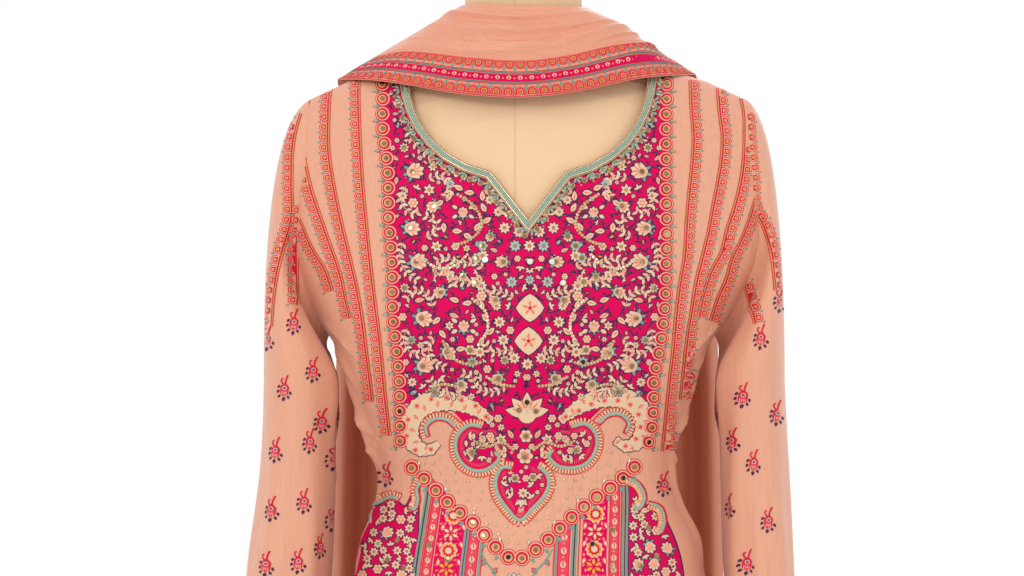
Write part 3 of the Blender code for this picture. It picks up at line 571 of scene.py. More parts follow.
def waistband_grid(columns):
    """The waistband's upper and lower rings."""
    turn = np.linspace(0, 2 * np.pi, columns, endpoint=False)[None]
    z = np.array([WAISTBAND_TOP_Z, WAISTBAND_LOW_Z + SEAM_GAP])[:, None]
    depth = np.where(np.cos(turn) > 0, read(BODY, "front", z), read(BODY, "back", z))
    across = np.abs(np.cos(turn)) ** section_power(z)
    y = -np.sign(np.cos(turn)) * (depth - TROUSER_INSET) * across
    x = (read(BODY, "half_width", z) - TROUSER_INSET) * np.sin(turn) + read(BODY, "shift", z)
    points = np.stack([x, y, z + 0 * turn], -1)
    return points, grid_normals(points, True, -1)


def grid_faces(rows, columns, closed):
    """Triangles over a grid of points, with each row joined round if closed. The
    diagonals lean the same way on both faces of a wall, so that it keeps its thickness."""
    faces = []
    for r in range(rows - 1):
        for c in range(columns if closed else columns - 1):
            d = (c + 1) % columns
            a, b = r * columns + c, r * columns + d
            faces += [(a, b, b + columns), (a, b + columns, a + columns)]
    return faces


def quads(rows, columns, closed=False):
    """Four-sided faces over a grid of points."""
    faces = []
    for r in range(rows - 1):
        for c in range(columns if closed else columns - 1):
            a, b = r * columns + c, r * columns + (c + 1) % columns
            faces.append((a, b, b + columns, a + columns))
    return faces


def join(parts):
    """Points and faces of many shapes as one."""
    start, points, faces = 0, [], []
    for p, f in parts:
        points.append(p)
        faces += [tuple(v + start for v in face) for face in f]
        start += len(p)
    return np.concatenate(points), faces


# Fine surfaces


def upsample(grid, row_counts, column_count):
    """The grid with each of its rows' and columns' steps cut into smaller ones."""
    steps = [i + np.arange(n) / n for i, n in enumerate(row_counts)]
    r = np.concatenate(steps + [[len(row_counts)]])
    c = np.arange((grid.shape[1] - 1) * column_count + 1) / column_count
    i = np.minimum(r.astype(int), grid.shape[0] - 2)
    j = np.minimum(c.astype(int), grid.shape[1] - 2)
    u, v = (r - i)[:, None], (c - j)[None]
    low = grid[i][:, j] * (1 - v) + grid[i][:, j + 1] * v
    high = grid[i + 1][:, j] * (1 - v) + grid[i + 1][:, j + 1] * v
    return low * (1 - u) + high * u


class Cloth:
    """A cloth surface as a grid of points, with and without its folds."""

    def __init__(self, plain, folded, outward=1, closed=False):
        self.shape, self.closed = plain.shape[:2], closed
        self.faces = grid_faces(*self.shape, closed)
        self.corners = np.array(self.faces)
        self.plain = plain.reshape(-1, 3)
        self.points = folded.reshape(-1, 3)
        self.normals = grid_normals(folded, closed, outward).reshape(-1, 3)
        self.tree = BVHTree.FromPolygons(self.plain.tolist(), self.faces)

    def lay(self, hits, heights):
        """Points on the folded cloth for hits on the plain one, raised by the heights."""
        found = np.array([h is not None for h, face in hits])
        place = np.array([h if h is not None else (0, 0, 0) for h, face in hits], float)
        corner = self.corners[[face or 0 for h, face in hits]]
        a, b, c = (self.plain[corner[:, i]] for i in range(3))
        n = np.cross(b - a, c - a)
        area = np.maximum(np.sum(n * n, 1), 1e-30)
        wb = np.sum(np.cross(place - a, c - a) * n, 1) / area
        wc = np.sum(np.cross(b - a, place - a) * n, 1) / area
        weights = np.stack([1 - wb - wc, wb, wc], 1)[..., None]
        normal = np.sum(self.normals[corner] * weights, 1)
        normal = unit(normal, 1e-9)
        point = np.sum(self.points[corner] * weights, 1)
        return point + normal * np.reshape(heights, (-1, 1)), normal, found

    def from_view(self, pixels, heights):
        """Where points of the front view fall on the cloth."""
        hits = []
        for px, py in pixels:
            way = (Vector(at_pixel(px, py)) - EYE).normalized()
            hit = self.tree.ray_cast(EYE, way)
            hits.append((hit[0], hit[2]))
        return self.lay(hits, heights)


def at_pixel(px, py):
    """The point of the chest's plane that a pixel shows."""
    return ((px - MIDDLE_COLUMN) * PIXEL, PLANE_Y, TOP_Z - PIXEL * py)


def fine_panel(facing):
    """The front (-1) or back (+1) panel as fine cloth."""
    rows_s, rows_z = panel_rows(facing)
    top = len(rows_s) - len(BODY_LEVELS[1:]) - 1
    drops = -np.diff(BODY_LEVELS)
    steps = [0.005 if z > 0.95 else 0.010 for z in BODY_LEVELS]
    counts = [7] * top + [max(2, round(drop / step)) for step, drop in zip(steps, drops)]
    s = upsample(rows_s, counts, 3)
    z = upsample(rows_z, counts, 3)
    folds = (FRONT_FOLDS + FRONT_CREASES) if facing < 0 else (BACK_FOLDS + BACK_CREASES)
    held = np.where(z < SLIT_Z - 0.1, 1.0, smooth((SIDE_S - np.abs(s)) / 0.02))
    lift = (ridges(folds, s, z) * held)[..., None]
    plain = panel(s, z, facing)
    return Cloth(plain, plain + lift * panel_normals(s, z, facing), facing)


def fine_sleeve(side):
    """A sleeve as fine cloth."""
    levels = np.concatenate([np.arange(SLEEVE_RING_Z, CUFF_Z, -0.005), [CUFF_Z]])
    plain = sleeve_points(side, 36, 24, levels)
    turn = np.linspace(0, 2 * np.pi, plain.shape[1], endpoint=False)
    folds = LEFT_SLEEVE_FOLDS if side < 0 else RIGHT_SLEEVE_FOLDS
    degrees = np.degrees(turn)[None] * np.ones((len(plain), 1))
    clear_of_seam = smooth(np.arange(len(plain)) / 24)[:, None, None]
    lift = ridges(folds, degrees, plain[..., 2])[..., None] * clear_of_seam
    folded = plain + lift * grid_normals(plain, True, side)
    degrees = degrees + 360 * (degrees < 40)
    fine = SLEEVE_CREASES_LEFT if side < 0 else SLEEVE_CREASES_RIGHT
    crease = ridges(fine, degrees, plain[..., 2])[..., None] * clear_of_seam
    folded = folded + crease * grid_normals(folded, True, side)
    return Cloth(plain, folded, side, closed=True)


# Creases finer than the solids' folds: across_0, down_0, across_1, down_1, breadth, ridge
FRONT_CREASES = (
    (-0.236, 1.120, -0.186, 1.076, 0.0050, 0.0034),
    (-0.226, 1.060, -0.174, 1.085, 0.0060, 0.0028),
    (-0.232, 1.190, -0.180, 1.150, 0.0055, 0.0030),
    (-0.236, 1.170, -0.196, 1.120, 0.0045, 0.0028),
    (0.236, 1.115, 0.188, 1.070, 0.0050, 0.0034),
    (0.222, 1.050, 0.172, 1.080, 0.0060, 0.0028),
    (0.230, 1.190, 0.178, 1.146, 0.0055, 0.0030),
    (0.234, 1.165, 0.194, 1.112, 0.0045, 0.0028),
    (-0.186, 1.250, -0.150, 1.120, 0.0080, 0.0010),
    (0.180, 1.260, 0.146, 1.120, 0.0080, 0.0010),
    (-0.212, 1.330, -0.196, 1.220, 0.0070, 0.0012),
    (0.208, 1.330, 0.192, 1.230, 0.0070, 0.0012),
)
BACK_CREASES = (
    (-0.236, 1.120, -0.188, 1.080, 0.0055, 0.0022),
    (0.236, 1.115, 0.190, 1.075, 0.0055, 0.0022),
    (-0.170, 1.300, -0.120, 1.160, 0.0090, 0.0014),
    (0.160, 1.300, 0.112, 1.150, 0.0090, 0.0014),
    (0.000, 1.120, -0.010, 1.000, 0.0100, 0.0014),
)
SLEEVE_CREASES_LEFT = (
    (96, 1.300, 132, 1.160, 7, 0.0023),
    (60, 1.200, 92, 1.120, 8, 0.0020),
    (140, 1.160, 160, 1.020, 8, 0.0025),
    (86, 1.020, 80, 0.900, 8, 0.0025),
    (44, 1.000, 40, 0.860, 7, 0.0023),
    (200, 1.150, 226, 1.020, 8, 0.0023),
    (300, 1.260, 262, 1.120, 9, 0.0023),
    (330, 1.080, 322, 0.900, 8, 0.0025),
)
SLEEVE_CREASES_RIGHT = (
    (92, 1.310, 128, 1.170, 7, 0.0023),
    (58, 1.220, 88, 1.130, 8, 0.0020),
    (134, 1.180, 158, 1.030, 8, 0.0027),
    (92, 1.050, 86, 0.900, 8, 0.0027),
    (40, 1.010, 36, 0.860, 7, 0.0023),
    (204, 1.140, 228, 1.010, 8, 0.0023),
    (296, 1.250, 258, 1.110, 9, 0.0023),
    (334, 1.070, 326, 0.890, 8, 0.0025),
)
SCARF_CREASES = (
    (0.95, -0.80, 0.93, 0.70, 0.026, 0.0030),
    (0.82, -0.95, 0.86, 0.60, 0.022, 0.0026),
    (0.74, -0.60, 0.66, 0.95, 0.024, 0.0030),
    (0.64, -0.98, 0.70, 0.20, 0.022, 0.0028),
    (0.55, -0.40, 0.57, 0.90, 0.020, 0.0022),
    (0.50, -0.98, 0.52, -0.10, 0.020, 0.0026),
    (0.47, 0.30, 0.50, 0.98, 0.018, 0.0022),
)


# Materials


class Nodes:
    """A material's node tree, with short calls that add and join nodes."""

    def __init__(self, name, roughness, **sockets):
        self.material = bpy.data.materials.new(name)
        self.material.use_nodes = True
        self.tree = self.material.node_tree
        self.shader = self.tree.nodes["Principled BSDF"]
        self.shader.inputs["Roughness"].default_value = roughness
        for key, value in sockets.items():
            self.shader.inputs[key.replace("_", " ")].default_value = value

    def add(self, kind, inputs=(), **settings):
        node = self.tree.nodes.new(kind)
        for key, value in settings.items():
            setattr(node, key, value)
        for key, value in dict(inputs).items():
            if isinstance(value, bpy.types.NodeSocket):
                self.tree.links.new(value, node.inputs[key])
            else:
                node.inputs[key].default_value = value
        return node

    def place(self, scale, space="Object"):
        """Coordinates stretched by the given scale."""
        where = self.add("ShaderNodeTexCoord").outputs[space]
        return self.add("ShaderNodeMapping", {"Vector": where, "Scale": scale}).outputs["Vector"]

    def noise(self, scale, detail=2.0, rough=0.5):
        inputs = {"Vector": self.place(scale), "Scale": 1.0, "Detail": detail, "Roughness": rough}
        return self.add("ShaderNodeTexNoise", inputs).outputs["Fac"]

    def ramp(self, fac, *stops):
        node = self.add("ShaderNodeValToRGB", {"Fac": fac})
        bar = node.color_ramp.elements
        while len(bar) < len(stops):
            bar.new(0.5)
        for stop, (at, colour) in zip(bar, stops):
            stop.position, stop.color = at, (*colour, 1)
        return node.outputs["Color"]

    def tint(self, fac, a, b):
        node = self.add("ShaderNodeMix", {"Factor": fac}, data_type="RGBA")
        for socket, value in ((node.inputs[6], a), (node.inputs[7], b)):
            if isinstance(value, bpy.types.NodeSocket):
                self.tree.links.new(value, socket)
            else:
                socket.default_value = (*value, 1)
        return node.outputs[2]

    def colour(self, value):
        self.tree.links.new(value, self.shader.inputs["Base Color"])

    def bump(self, *heights):
        """Bump from (height socket, strength, distance) one after another."""
        normal = None
        for height, strength, distance in heights:
            inputs = {"Height": height, "Strength": strength, "Distance": distance}
            if normal is not None:
                inputs["Normal"] = normal
            normal = self.add("ShaderNodeBump", inputs).outputs["Normal"]
        self.tree.links.new(normal, self.shader.inputs["Normal"])


def shade(colour, factor):
    """The colour made lighter or darker."""
    return tuple(min(1, c * factor) for c in colour)


def woven(name, colour, roughness=0.55, slub=(480, 480, 18), contrast=0.13, sheen=0.25, fine=2600,
    specular=0.35):
    """Silk: a base colour with slubs along the thread, fine weave and a soft sheen."""
    made = Nodes(name, roughness, Sheen_Weight=sheen, Sheen_Roughness=0.4,
        Specular_IOR_Level=specular)
    streak = made.noise(slub, 3.0, 0.6)
    cloud = made.noise((9, 9, 6), 2.0)
    light, dark = shade(colour, 1 + contrast), shade(colour, 1 - contrast)
    tone = made.ramp(streak, (0.30, dark), (0.52, colour), (0.74, light))
    made.colour(made.tint(cloud, tone, shade(colour, 0.94)))
    threads = made.noise((fine, fine, fine / 3), 1.0)
    made.bump((streak, 0.25, 0.0004), (threads, 0.20, 0.0002))
    return made.material


def plain_finish(name, colour, roughness=0.5, metallic=0.0, variation=0.10, scale=(400, 400, 400),
    **sockets):
    made = Nodes(name, roughness, Metallic=metallic, **sockets)
    fac = made.noise(scale, 2.0)
    made.colour(made.ramp(fac, (0.3, shade(colour, 1 - variation)),
        (0.7, shade(colour, 1 + variation))))
    made.bump((fac, 0.15, 0.0003))
    return made.material


def jersey(name, colour):
    """The form's knitted cover: fine wales and a soft fuzz."""
    made = Nodes(name, 0.85, Sheen_Weight=0.15, Sheen_Roughness=0.6, Specular_IOR_Level=0.2)
    inputs = {"Vector": made.place((1, 1, 1)), "Scale": 190.0, "Distortion": 1.2, "Detail": 2.0}
    wales = made.add("ShaderNodeTexWave", inputs)
    fuzz = made.noise((1500, 1500, 900), 2.0)
    cloud = made.noise((14, 14, 14), 2.0)
    tone = made.ramp(fuzz, (0.32, shade(colour, 0.92)), (0.68, shade(colour, 1.06)))
    made.colour(made.tint(cloud, tone, shade(colour, 0.96)))
    made.bump((wales.outputs["Fac"], 0.18, 0.0003), (fuzz, 0.20, 0.0002))
    return made.material


def brushed(name, colour, grain):
    """Steel with fine brush marks and a few dull patches."""
    made = Nodes(name, 0.3, Metallic=1.0)
    marks = made.noise(grain, 3.0, 0.65)
    dull = made.noise((18, 18, 18), 2.0)
    made.colour(made.ramp(marks, (0.3, shade(colour, 0.86)), (0.7, shade(colour, 1.08))))
    rough = made.add("ShaderNodeMapRange",
        {"Value": dull, "To Min": 0.24, "To Max": 0.42}).outputs["Result"]
    made.tree.links.new(rough, made.shader.inputs["Roughness"])
    made.bump((marks, 0.12, 0.0002))
    return made.material


PEACH_TONE = (0.74, 0.350, 0.225)
PALETTE = {
    "peach": woven("peach_silk", PEACH_TONE),
    "peach_scarf": woven("peach_scarf_silk", (0.74, 0.315, 0.20), slub=(24, 480, 480),
        contrast=0.12),
    # The falls' silk is the scarf's silk made a little darker and flatter: painted shade on the
    # ends that hang behind the body
    "peach_fall_painted_shade": woven("peach_fall_silk", (0.72, 0.30, 0.19), contrast=0.08),
    "ground": woven("magenta_print", (0.68, 0.001, 0.088), contrast=0.10, sheen=0.02,
        specular=0.06),
    "crimson": woven("crimson_print", (0.66, 0.012, 0.040), contrast=0.08, sheen=0.05,
        specular=0.12),
    "rose": woven("rose_print", (0.76, 0.05, 0.11), contrast=0.08, sheen=0.05, specular=0.15),
    "coral": woven("coral_print", (0.80, 0.19, 0.12), contrast=0.06),
    "navy": woven("navy_print", (0.085, 0.020, 0.075), contrast=0.10, sheen=0.02, specular=0.12),
    "cream": woven("cream_print", (0.76, 0.52, 0.33), contrast=0.10),
    "pink": woven("pale_pink_print", (0.82, 0.36, 0.25), contrast=0.06),
    "amber": woven("amber_print", (0.80, 0.33, 0.05), contrast=0.06),
    "teal": woven("teal_print", (0.15, 0.31, 0.25), contrast=0.10, sheen=0.08),
    "sky": woven("pale_teal_print", (0.36, 0.46, 0.38), contrast=0.08),
    "peach_plain": woven("peach_plain_silk", PEACH_TONE),
}


# Pieces


def add_piece(name, points, faces, finish, slot, normals=None, sharp=40):
    """A piece of the part with its material; the slot is not used."""
    mesh = bpy.data.meshes.new(name)
    mesh.from_pydata(np.asarray(points).tolist(), [], [tuple(f) for f in faces])
    mesh.materials.append(finish)
    mesh.shade_smooth()
    if sharp:
        mesh.set_sharp_from_angle(angle=math.radians(sharp))
    if normals is not None:
        mesh.normals_split_custom_set_from_vertices(np.asarray(normals).tolist())
    obj = bpy.data.objects.new(name, mesh)
    bpy.context.scene.collection.objects.link(obj)
    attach(obj, "root")
    return obj


def add_shell(name, cloth, finish, slot, wall=CLOTH_WALL):
    """The cloth as a thin wall: outer face, inner face and a rim round the edges."""
    count = len(cloth.points)
    edges = {(f[i], f[(i + 1) % 3]) for f in cloth.faces for i in range(3)}
    rim = [(b, a, a + count, b + count) for a, b in sorted(edges) if (b, a) not in edges]
    inner = [tuple(v + count for v in reversed(f)) for f in cloth.faces]
    both = np.concatenate([cloth.points, cloth.points - wall * cloth.normals])
    faces = cloth.faces + inner + rim
    return add_piece(name, both, faces, finish, slot)


front = fine_panel(-1)
back = fine_panel(1)
sleeves = {side: fine_sleeve(side) for side in (-1, 1)}
scarf_points, scarf_normals = scarf_front_grid(150, 60)
up = np.linspace(0, 1, 61)[:, None]
along = np.linspace(-1, 1, 151)[None]
creases = ridges(SCARF_CREASES, up + 0 * along, along + 0 * up) * smooth((1 - np.abs(along)) / 0.10)
scarf = Cloth(scarf_points, scarf_points + creases[..., None] * scarf_normals, 1)
falls = {side: Cloth(*[fall_grid(side, 120, 120)[0]] * 2, outward=side) for side in (-1, 1)}


def replace_node(node, cloth, colour, slot, wall=CLOTH_WALL):
    """The cloth as a piece of its own in the place of the CAD node."""
    piece = add_shell(f"{node}_cloth", cloth, PALETTE[colour], slot, wall)
    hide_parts(node)


# Flat shapes, as points and triangles


def fan(outline):
    """Triangles from a shape's middle to its outline."""
    outline = np.asarray(outline, float)
    n = len(outline)
    return np.concatenate([[outline.mean(0)], outline]), [(0, 1 + i, 1 + (i + 1) % n)
        for i in range(n)]


def disc(r, n=12):
    """A round shape."""
    a = np.linspace(0, 2 * np.pi, n, endpoint=False)
    return fan(np.stack([r * np.cos(a), r * np.sin(a)], -1))


def petal(length, width, n=5, start=0.0):
    """A leaf from its foot at the start point to its tip, along +X."""
    t = np.linspace(0, 1, n + 2)
    half = width / 2 * np.sin(np.pi * t**0.8) ** 0.9
    x = start + length * t
    return fan(np.concatenate([np.stack([x, half], -1), np.stack([x, -half], -1)[-2:0:-1]]))


def rosette(r, petals, depth=0.35, per=6):
    """A flower with round petals."""
    a = np.linspace(0, 2 * np.pi, petals * per, endpoint=False)
    radius = r * (1 - depth + depth * np.abs(np.cos(petals * a / 2)) ** 0.7)
    return fan(np.stack([radius * np.cos(a), radius * np.sin(a)], -1))


def arch(r, depth, n=9):
    """A round bump towards +X with a straight foot."""
    a = np.linspace(-np.pi / 2, np.pi / 2, n)
    bump = np.stack([r * np.cos(a), r * np.sin(a)], -1)
    return fan(np.concatenate([bump, [[-depth, r], [-depth, -r]]]))


def stroke(points, width, taper=0.0, lanes=1):
    """A band along a line; its width falls off towards both ends by the taper."""
    points = np.asarray(points, float)
    n, across = len(points), lanes + 1
    along = np.gradient(points, axis=0)
    along = unit(along, 1e-9)
    side = np.stack([-along[:, 1], along[:, 0]], -1)
    t = np.linspace(-1, 1, n)
    half = (width / 2 * (1 - taper * np.abs(t) ** 2))[:, None]
    grid = np.stack([points + side * half * k for k in np.linspace(1, -1, across)], 1)
    faces = []
    for i in range(n - 1):
        for k in range(lanes):
            a, b = i * across + k, (i + 1) * across + k
            faces += [(a, b, b + 1), (a, b + 1, a + 1)]
    return grid.reshape(-1, 2), faces


def moved(shape, x, y, degrees=0.0, scale=1.0, flip=1):
    """The shape scaled, turned, mirrored by a flip of -1, and put at a place."""
    points, faces = shape
    a = math.radians(degrees)
    p = points * scale
    across = p[:, 0] * math.cos(a) - p[:, 1] * math.sin(a)
    down = p[:, 0] * math.sin(a) + p[:, 1] * math.cos(a)
    return np.stack([across, down], -1) * (flip, 1) + (x, y), faces


def line(points, step=3.0):
    """Evenly spaced points along a smooth line through the given ones."""
    points = np.asarray(points, float)
    knots = lengths(points)
    count = max(2, round(knots[-1] / step) + 1)
    t = np.linspace(0, knots[-1], count)
    return np.stack([curve(knots, points[:, i], t) for i in range(points.shape[1])], -1)


def spaced(points, pitch):
    """Points a pitch apart on a smooth line, with the line's direction there."""
    fine = line(points, 0.5 * pitch / 4)
    length = lengths(fine)
    count = max(1, round(length[-1] / pitch))
    at = (np.arange(count) + 0.5) * length[-1] / count

    def place(d):
        return np.stack([np.interp(d, length, fine[:, i]) for i in range(2)], -1)

    way = place(at + 0.3) - place(at - 0.3)
    return place(at), np.degrees(np.arctan2(way[:, 1], way[:, 0]))


class Ink:
    """Printed shapes on one cloth, gathered by colour."""

    LIFT, STEP = 0.00022, 0.00007

    def __init__(self, name, lay, slot, longest):
        self.name, self.lay, self.slot, self.longest = name, lay, slot, longest
        self.shapes = {}

    def draw(self, colour, shape, level):
        points, faces = shape
        heights = np.full(len(points), self.LIFT + level * self.STEP)
        self.shapes.setdefault(colour, []).append((points, faces, heights))

    def finish(self):
        for colour, shapes in self.shapes.items():
            points, faces = join([shape[:2] for shape in shapes])
            heights = np.concatenate([shape[2] for shape in shapes])
            place, normal, found = self.lay(points, heights)
            corner = np.array(faces)
            sides = [place[corner[:, i]] - place[corner[:, i - 1]] for i in range(3)]
            longest = np.linalg.norm(sides, axis=2).max(0)
            keep = corner[found[corner].all(1) & (longest < self.longest)]
            a, b, c = (place[keep[:, i]] for i in range(3))
            turned = np.sum(np.cross(b - a, c - a) * normal[keep[:, 0]], 1) < 0
            keep[turned] = keep[turned][:, ::-1]
            used = np.unique(keep)
            renumber = np.zeros(len(place), int)
            renumber[used] = np.arange(len(used))
            if len(keep):
                name, faces = f"{self.name}_{colour}", renumber[keep].tolist()
                add_piece(name, place[used], faces, PALETTE[colour], self.slot, normal[used], 0)


# Motifs


def leaf(ink, x, y, degrees, length, width, fill="cream", rim="navy", vein="", flip=1, level=2):
    """A leaf with a rim, from its foot."""
    shapes = [(rim, petal(length + 2.2, width + 2.3, start=-1.1)), (fill, petal(length, width))]
    if vein:
        shapes.append((vein, petal(length * 0.62, width * 0.32, start=length * 0.12)))
    for i, (colour, shape) in enumerate(shapes):
        ink.draw(colour, moved(shape, x, y, degrees, flip=flip), level + i)


def daisy(ink, x, y, r, petals=8, fill="cream", heart="coral", turn=0.0, level=3):
    """A flower with pointed petals and a small heart."""
    for i in range(petals):
        a = turn + 360 * i / petals
        ink.draw("navy", moved(petal(r + 0.9, 0.88 * r), x, y, a), level)
        ink.draw(fill, moved(petal(r * 0.88, 0.50 * r, start=r * 0.12), x, y, a), level + 1)
    ink.draw("navy", moved(disc(0.30 * r, 8), x, y), level + 2)
    ink.draw(heart, moved(disc(0.20 * r, 8), x, y), level + 3)


def blossom(ink, x, y, r, degrees, flip=1, fill="cream", inner="pink"):
    """An open flower seen from the side, with a toothed edge and a round heart."""
    for width, colour, level in ((1.13, "navy", 3), (1.0, fill, 4)):
        for a, size in ((-62, 0.86), (-32, 1.02), (0, 1.12), (32, 1.02), (62, 0.86)):
            shape = petal(r * size * width + (0.9 if colour == "navy" else 0), r * 0.66 * width)
            ink.draw(colour, moved(shape, x, y, degrees + a, flip=flip), level)
        base = moved(disc(r * 0.55 * width, 12), x, y, degrees, flip=flip)
        ink.draw(colour, base, level)
    for a in (-46, -16, 16, 46):
        ink.draw("coral",
            moved(petal(r * 0.66, r * 0.12, start=r * 0.28), x, y, degrees + a, flip=flip), 5)
    ink.draw(inner, moved(disc(r * 0.40, 12), x, y, flip=flip), 5)
    for a in (128, 180, 232):
        foot = turned_point(x, y, degrees + a, r * 0.45, flip)
        leaf(ink, *foot, degrees + a, r * 0.5, r * 0.3, "teal", flip=flip, level=3)


def turned_point(x, y, degrees, distance, flip=1):
    """The point a distance away in a direction."""
    a = math.radians(degrees)
    return x + flip * distance * math.cos(a), y + distance * math.sin(a)


def ring_flower(ink, x, y, r, rim="navy", fill="cream", heart="rose"):
    """A round flower in rings."""
    ink.draw(rim, moved(rosette(r + 0.9, 6, 0.25), x, y), 3)
    ink.draw(fill, moved(rosette(r, 6, 0.28), x, y), 4)
    ink.draw(heart, moved(rosette(r * 0.62, 6, 0.4), x, y, 30), 5)
    ink.draw("cream", moved(disc(r * 0.3, 8), x, y), 6)


def border_ring(ink, x, y, degrees, r):
    """One round of the wide border; the direction points outwards."""
    for size, colour, shift, level in (
        (1.0, "crimson", 0.0, 3), (0.89, "cream", 0.0, 4), (0.78, "crimson", 0.02, 5),
        (0.50, "cream", 0.08, 6), (0.44, "amber", 0.08, 7), (0.33, "crimson", 0.04, 8),
    ):
        middle = turned_point(x, y, degrees, r * shift)
        ink.draw(colour, moved(disc(r * size, 16), *middle), level)


def stripe_arch(ink, x, y, degrees, r):
    """One bump of a stripe; the direction points to its bumps."""
    bumps = (("crimson", 1.0, 0.85), ("pink", 0.82, 0.72), ("crimson", 0.62, 0.55))
    for level, (colour, size, depth) in enumerate(bumps, 3):
        ink.draw(colour, moved(arch(r * size, r * depth), x, y, degrees), level)
    ink.draw("amber", moved(disc(r * 0.36, 10), x, y), 6)
    ink.draw("teal", moved(disc(r * 0.17, 8), x, y), 7)


def stripe(ink, points, pitch, r, outward):
    """A row of bumps along a line with a straight edge; outward is its bumps' side."""
    spots, ways = spaced(points, pitch)
    turn = 90 * outward
    for (x, y), way in zip(spots, ways):
        stripe_arch(ink, x, y, way + turn, r)
        tip = turned_point(x, y, way, pitch / 2)
        tip = turned_point(*tip, way + turn, r * 0.62)
        ink.draw("teal", moved(petal(r * 0.75, r * 0.42), *tip, way + turn), 6)
    edge = line(points, 3.0)
    along = np.gradient(edge, axis=0)
    along = unit(along)
    side = outward * np.stack([-along[:, 1], along[:, 0]], -1)
    for colour, off, width in (("crimson", 0.95, 0.20), ("amber", 1.20, 0.13),
        ("crimson", 1.42, 0.13)):
        ink.draw(colour, stroke(edge - side * r * off, r * width), 4)


# A sprig's lines as colour, level, points (up the stem, then across) and width; its
# buds as a place and a turn
SPRIG_LINES = (
    ("crimson", 3, ((4, 0), (9, 0.4), (14, 1.8)), 1.7),
    ("crimson", 3, ((3.5, -1.5), (6, -4.2), (9, -4.4), (9.6, -2.6)), 1.5),
)
SPRIG_BUDS = ((2.0, -5.4, 215), (-3.0, -5.8, 205), (-8.0, -3.8, 215), (-3.4, 5.8, 155),
    (-8.0, 4.0, 145))


def sprig(ink, x, y, degrees, size, flip=1):
    """A small upright spray: a stem with a curl, a bell flower with a ring, and buds."""
    degrees += 8

    def put(colour, shape, level):
        ink.draw(colour, moved(shape, x, y, degrees, size, flip), level)

    for colour, level, points, width in SPRIG_LINES:
        put(colour, stroke(line(points, 1.5), width), level)
    bell = np.array([(6.0, 0), (1.4, -4.4), (-6.2, -4.0), (-8.8, 0), (-6.2, 4.0), (1.4, 4.4)])
    put("crimson", fan(bell), 4)
    put("rose", fan(bell * 0.74 - (0.6, 0)), 5)
    for across in (-2.4, -0.8, 0.8, 2.4):
        shape, faces = petal(4.2, 0.9)
        put("pink", (shape * (-1, 1) + (-3.6, across), faces), 6)
    for radius, colour, level in ((2.9, "crimson", 6), (2.4, "sky", 7), (1.4, "crimson", 8)):
        put(colour, disc(radius, 12), level)
    for up, across, turn in SPRIG_BUDS:
        put("navy", moved(petal(4.2, 2.6, start=-0.6), up, across, turn), 4)
    put("navy", moved(petal(5.0, 3.4, start=-1.0), -10.4, 0.6, 190), 4)


# Raised trims


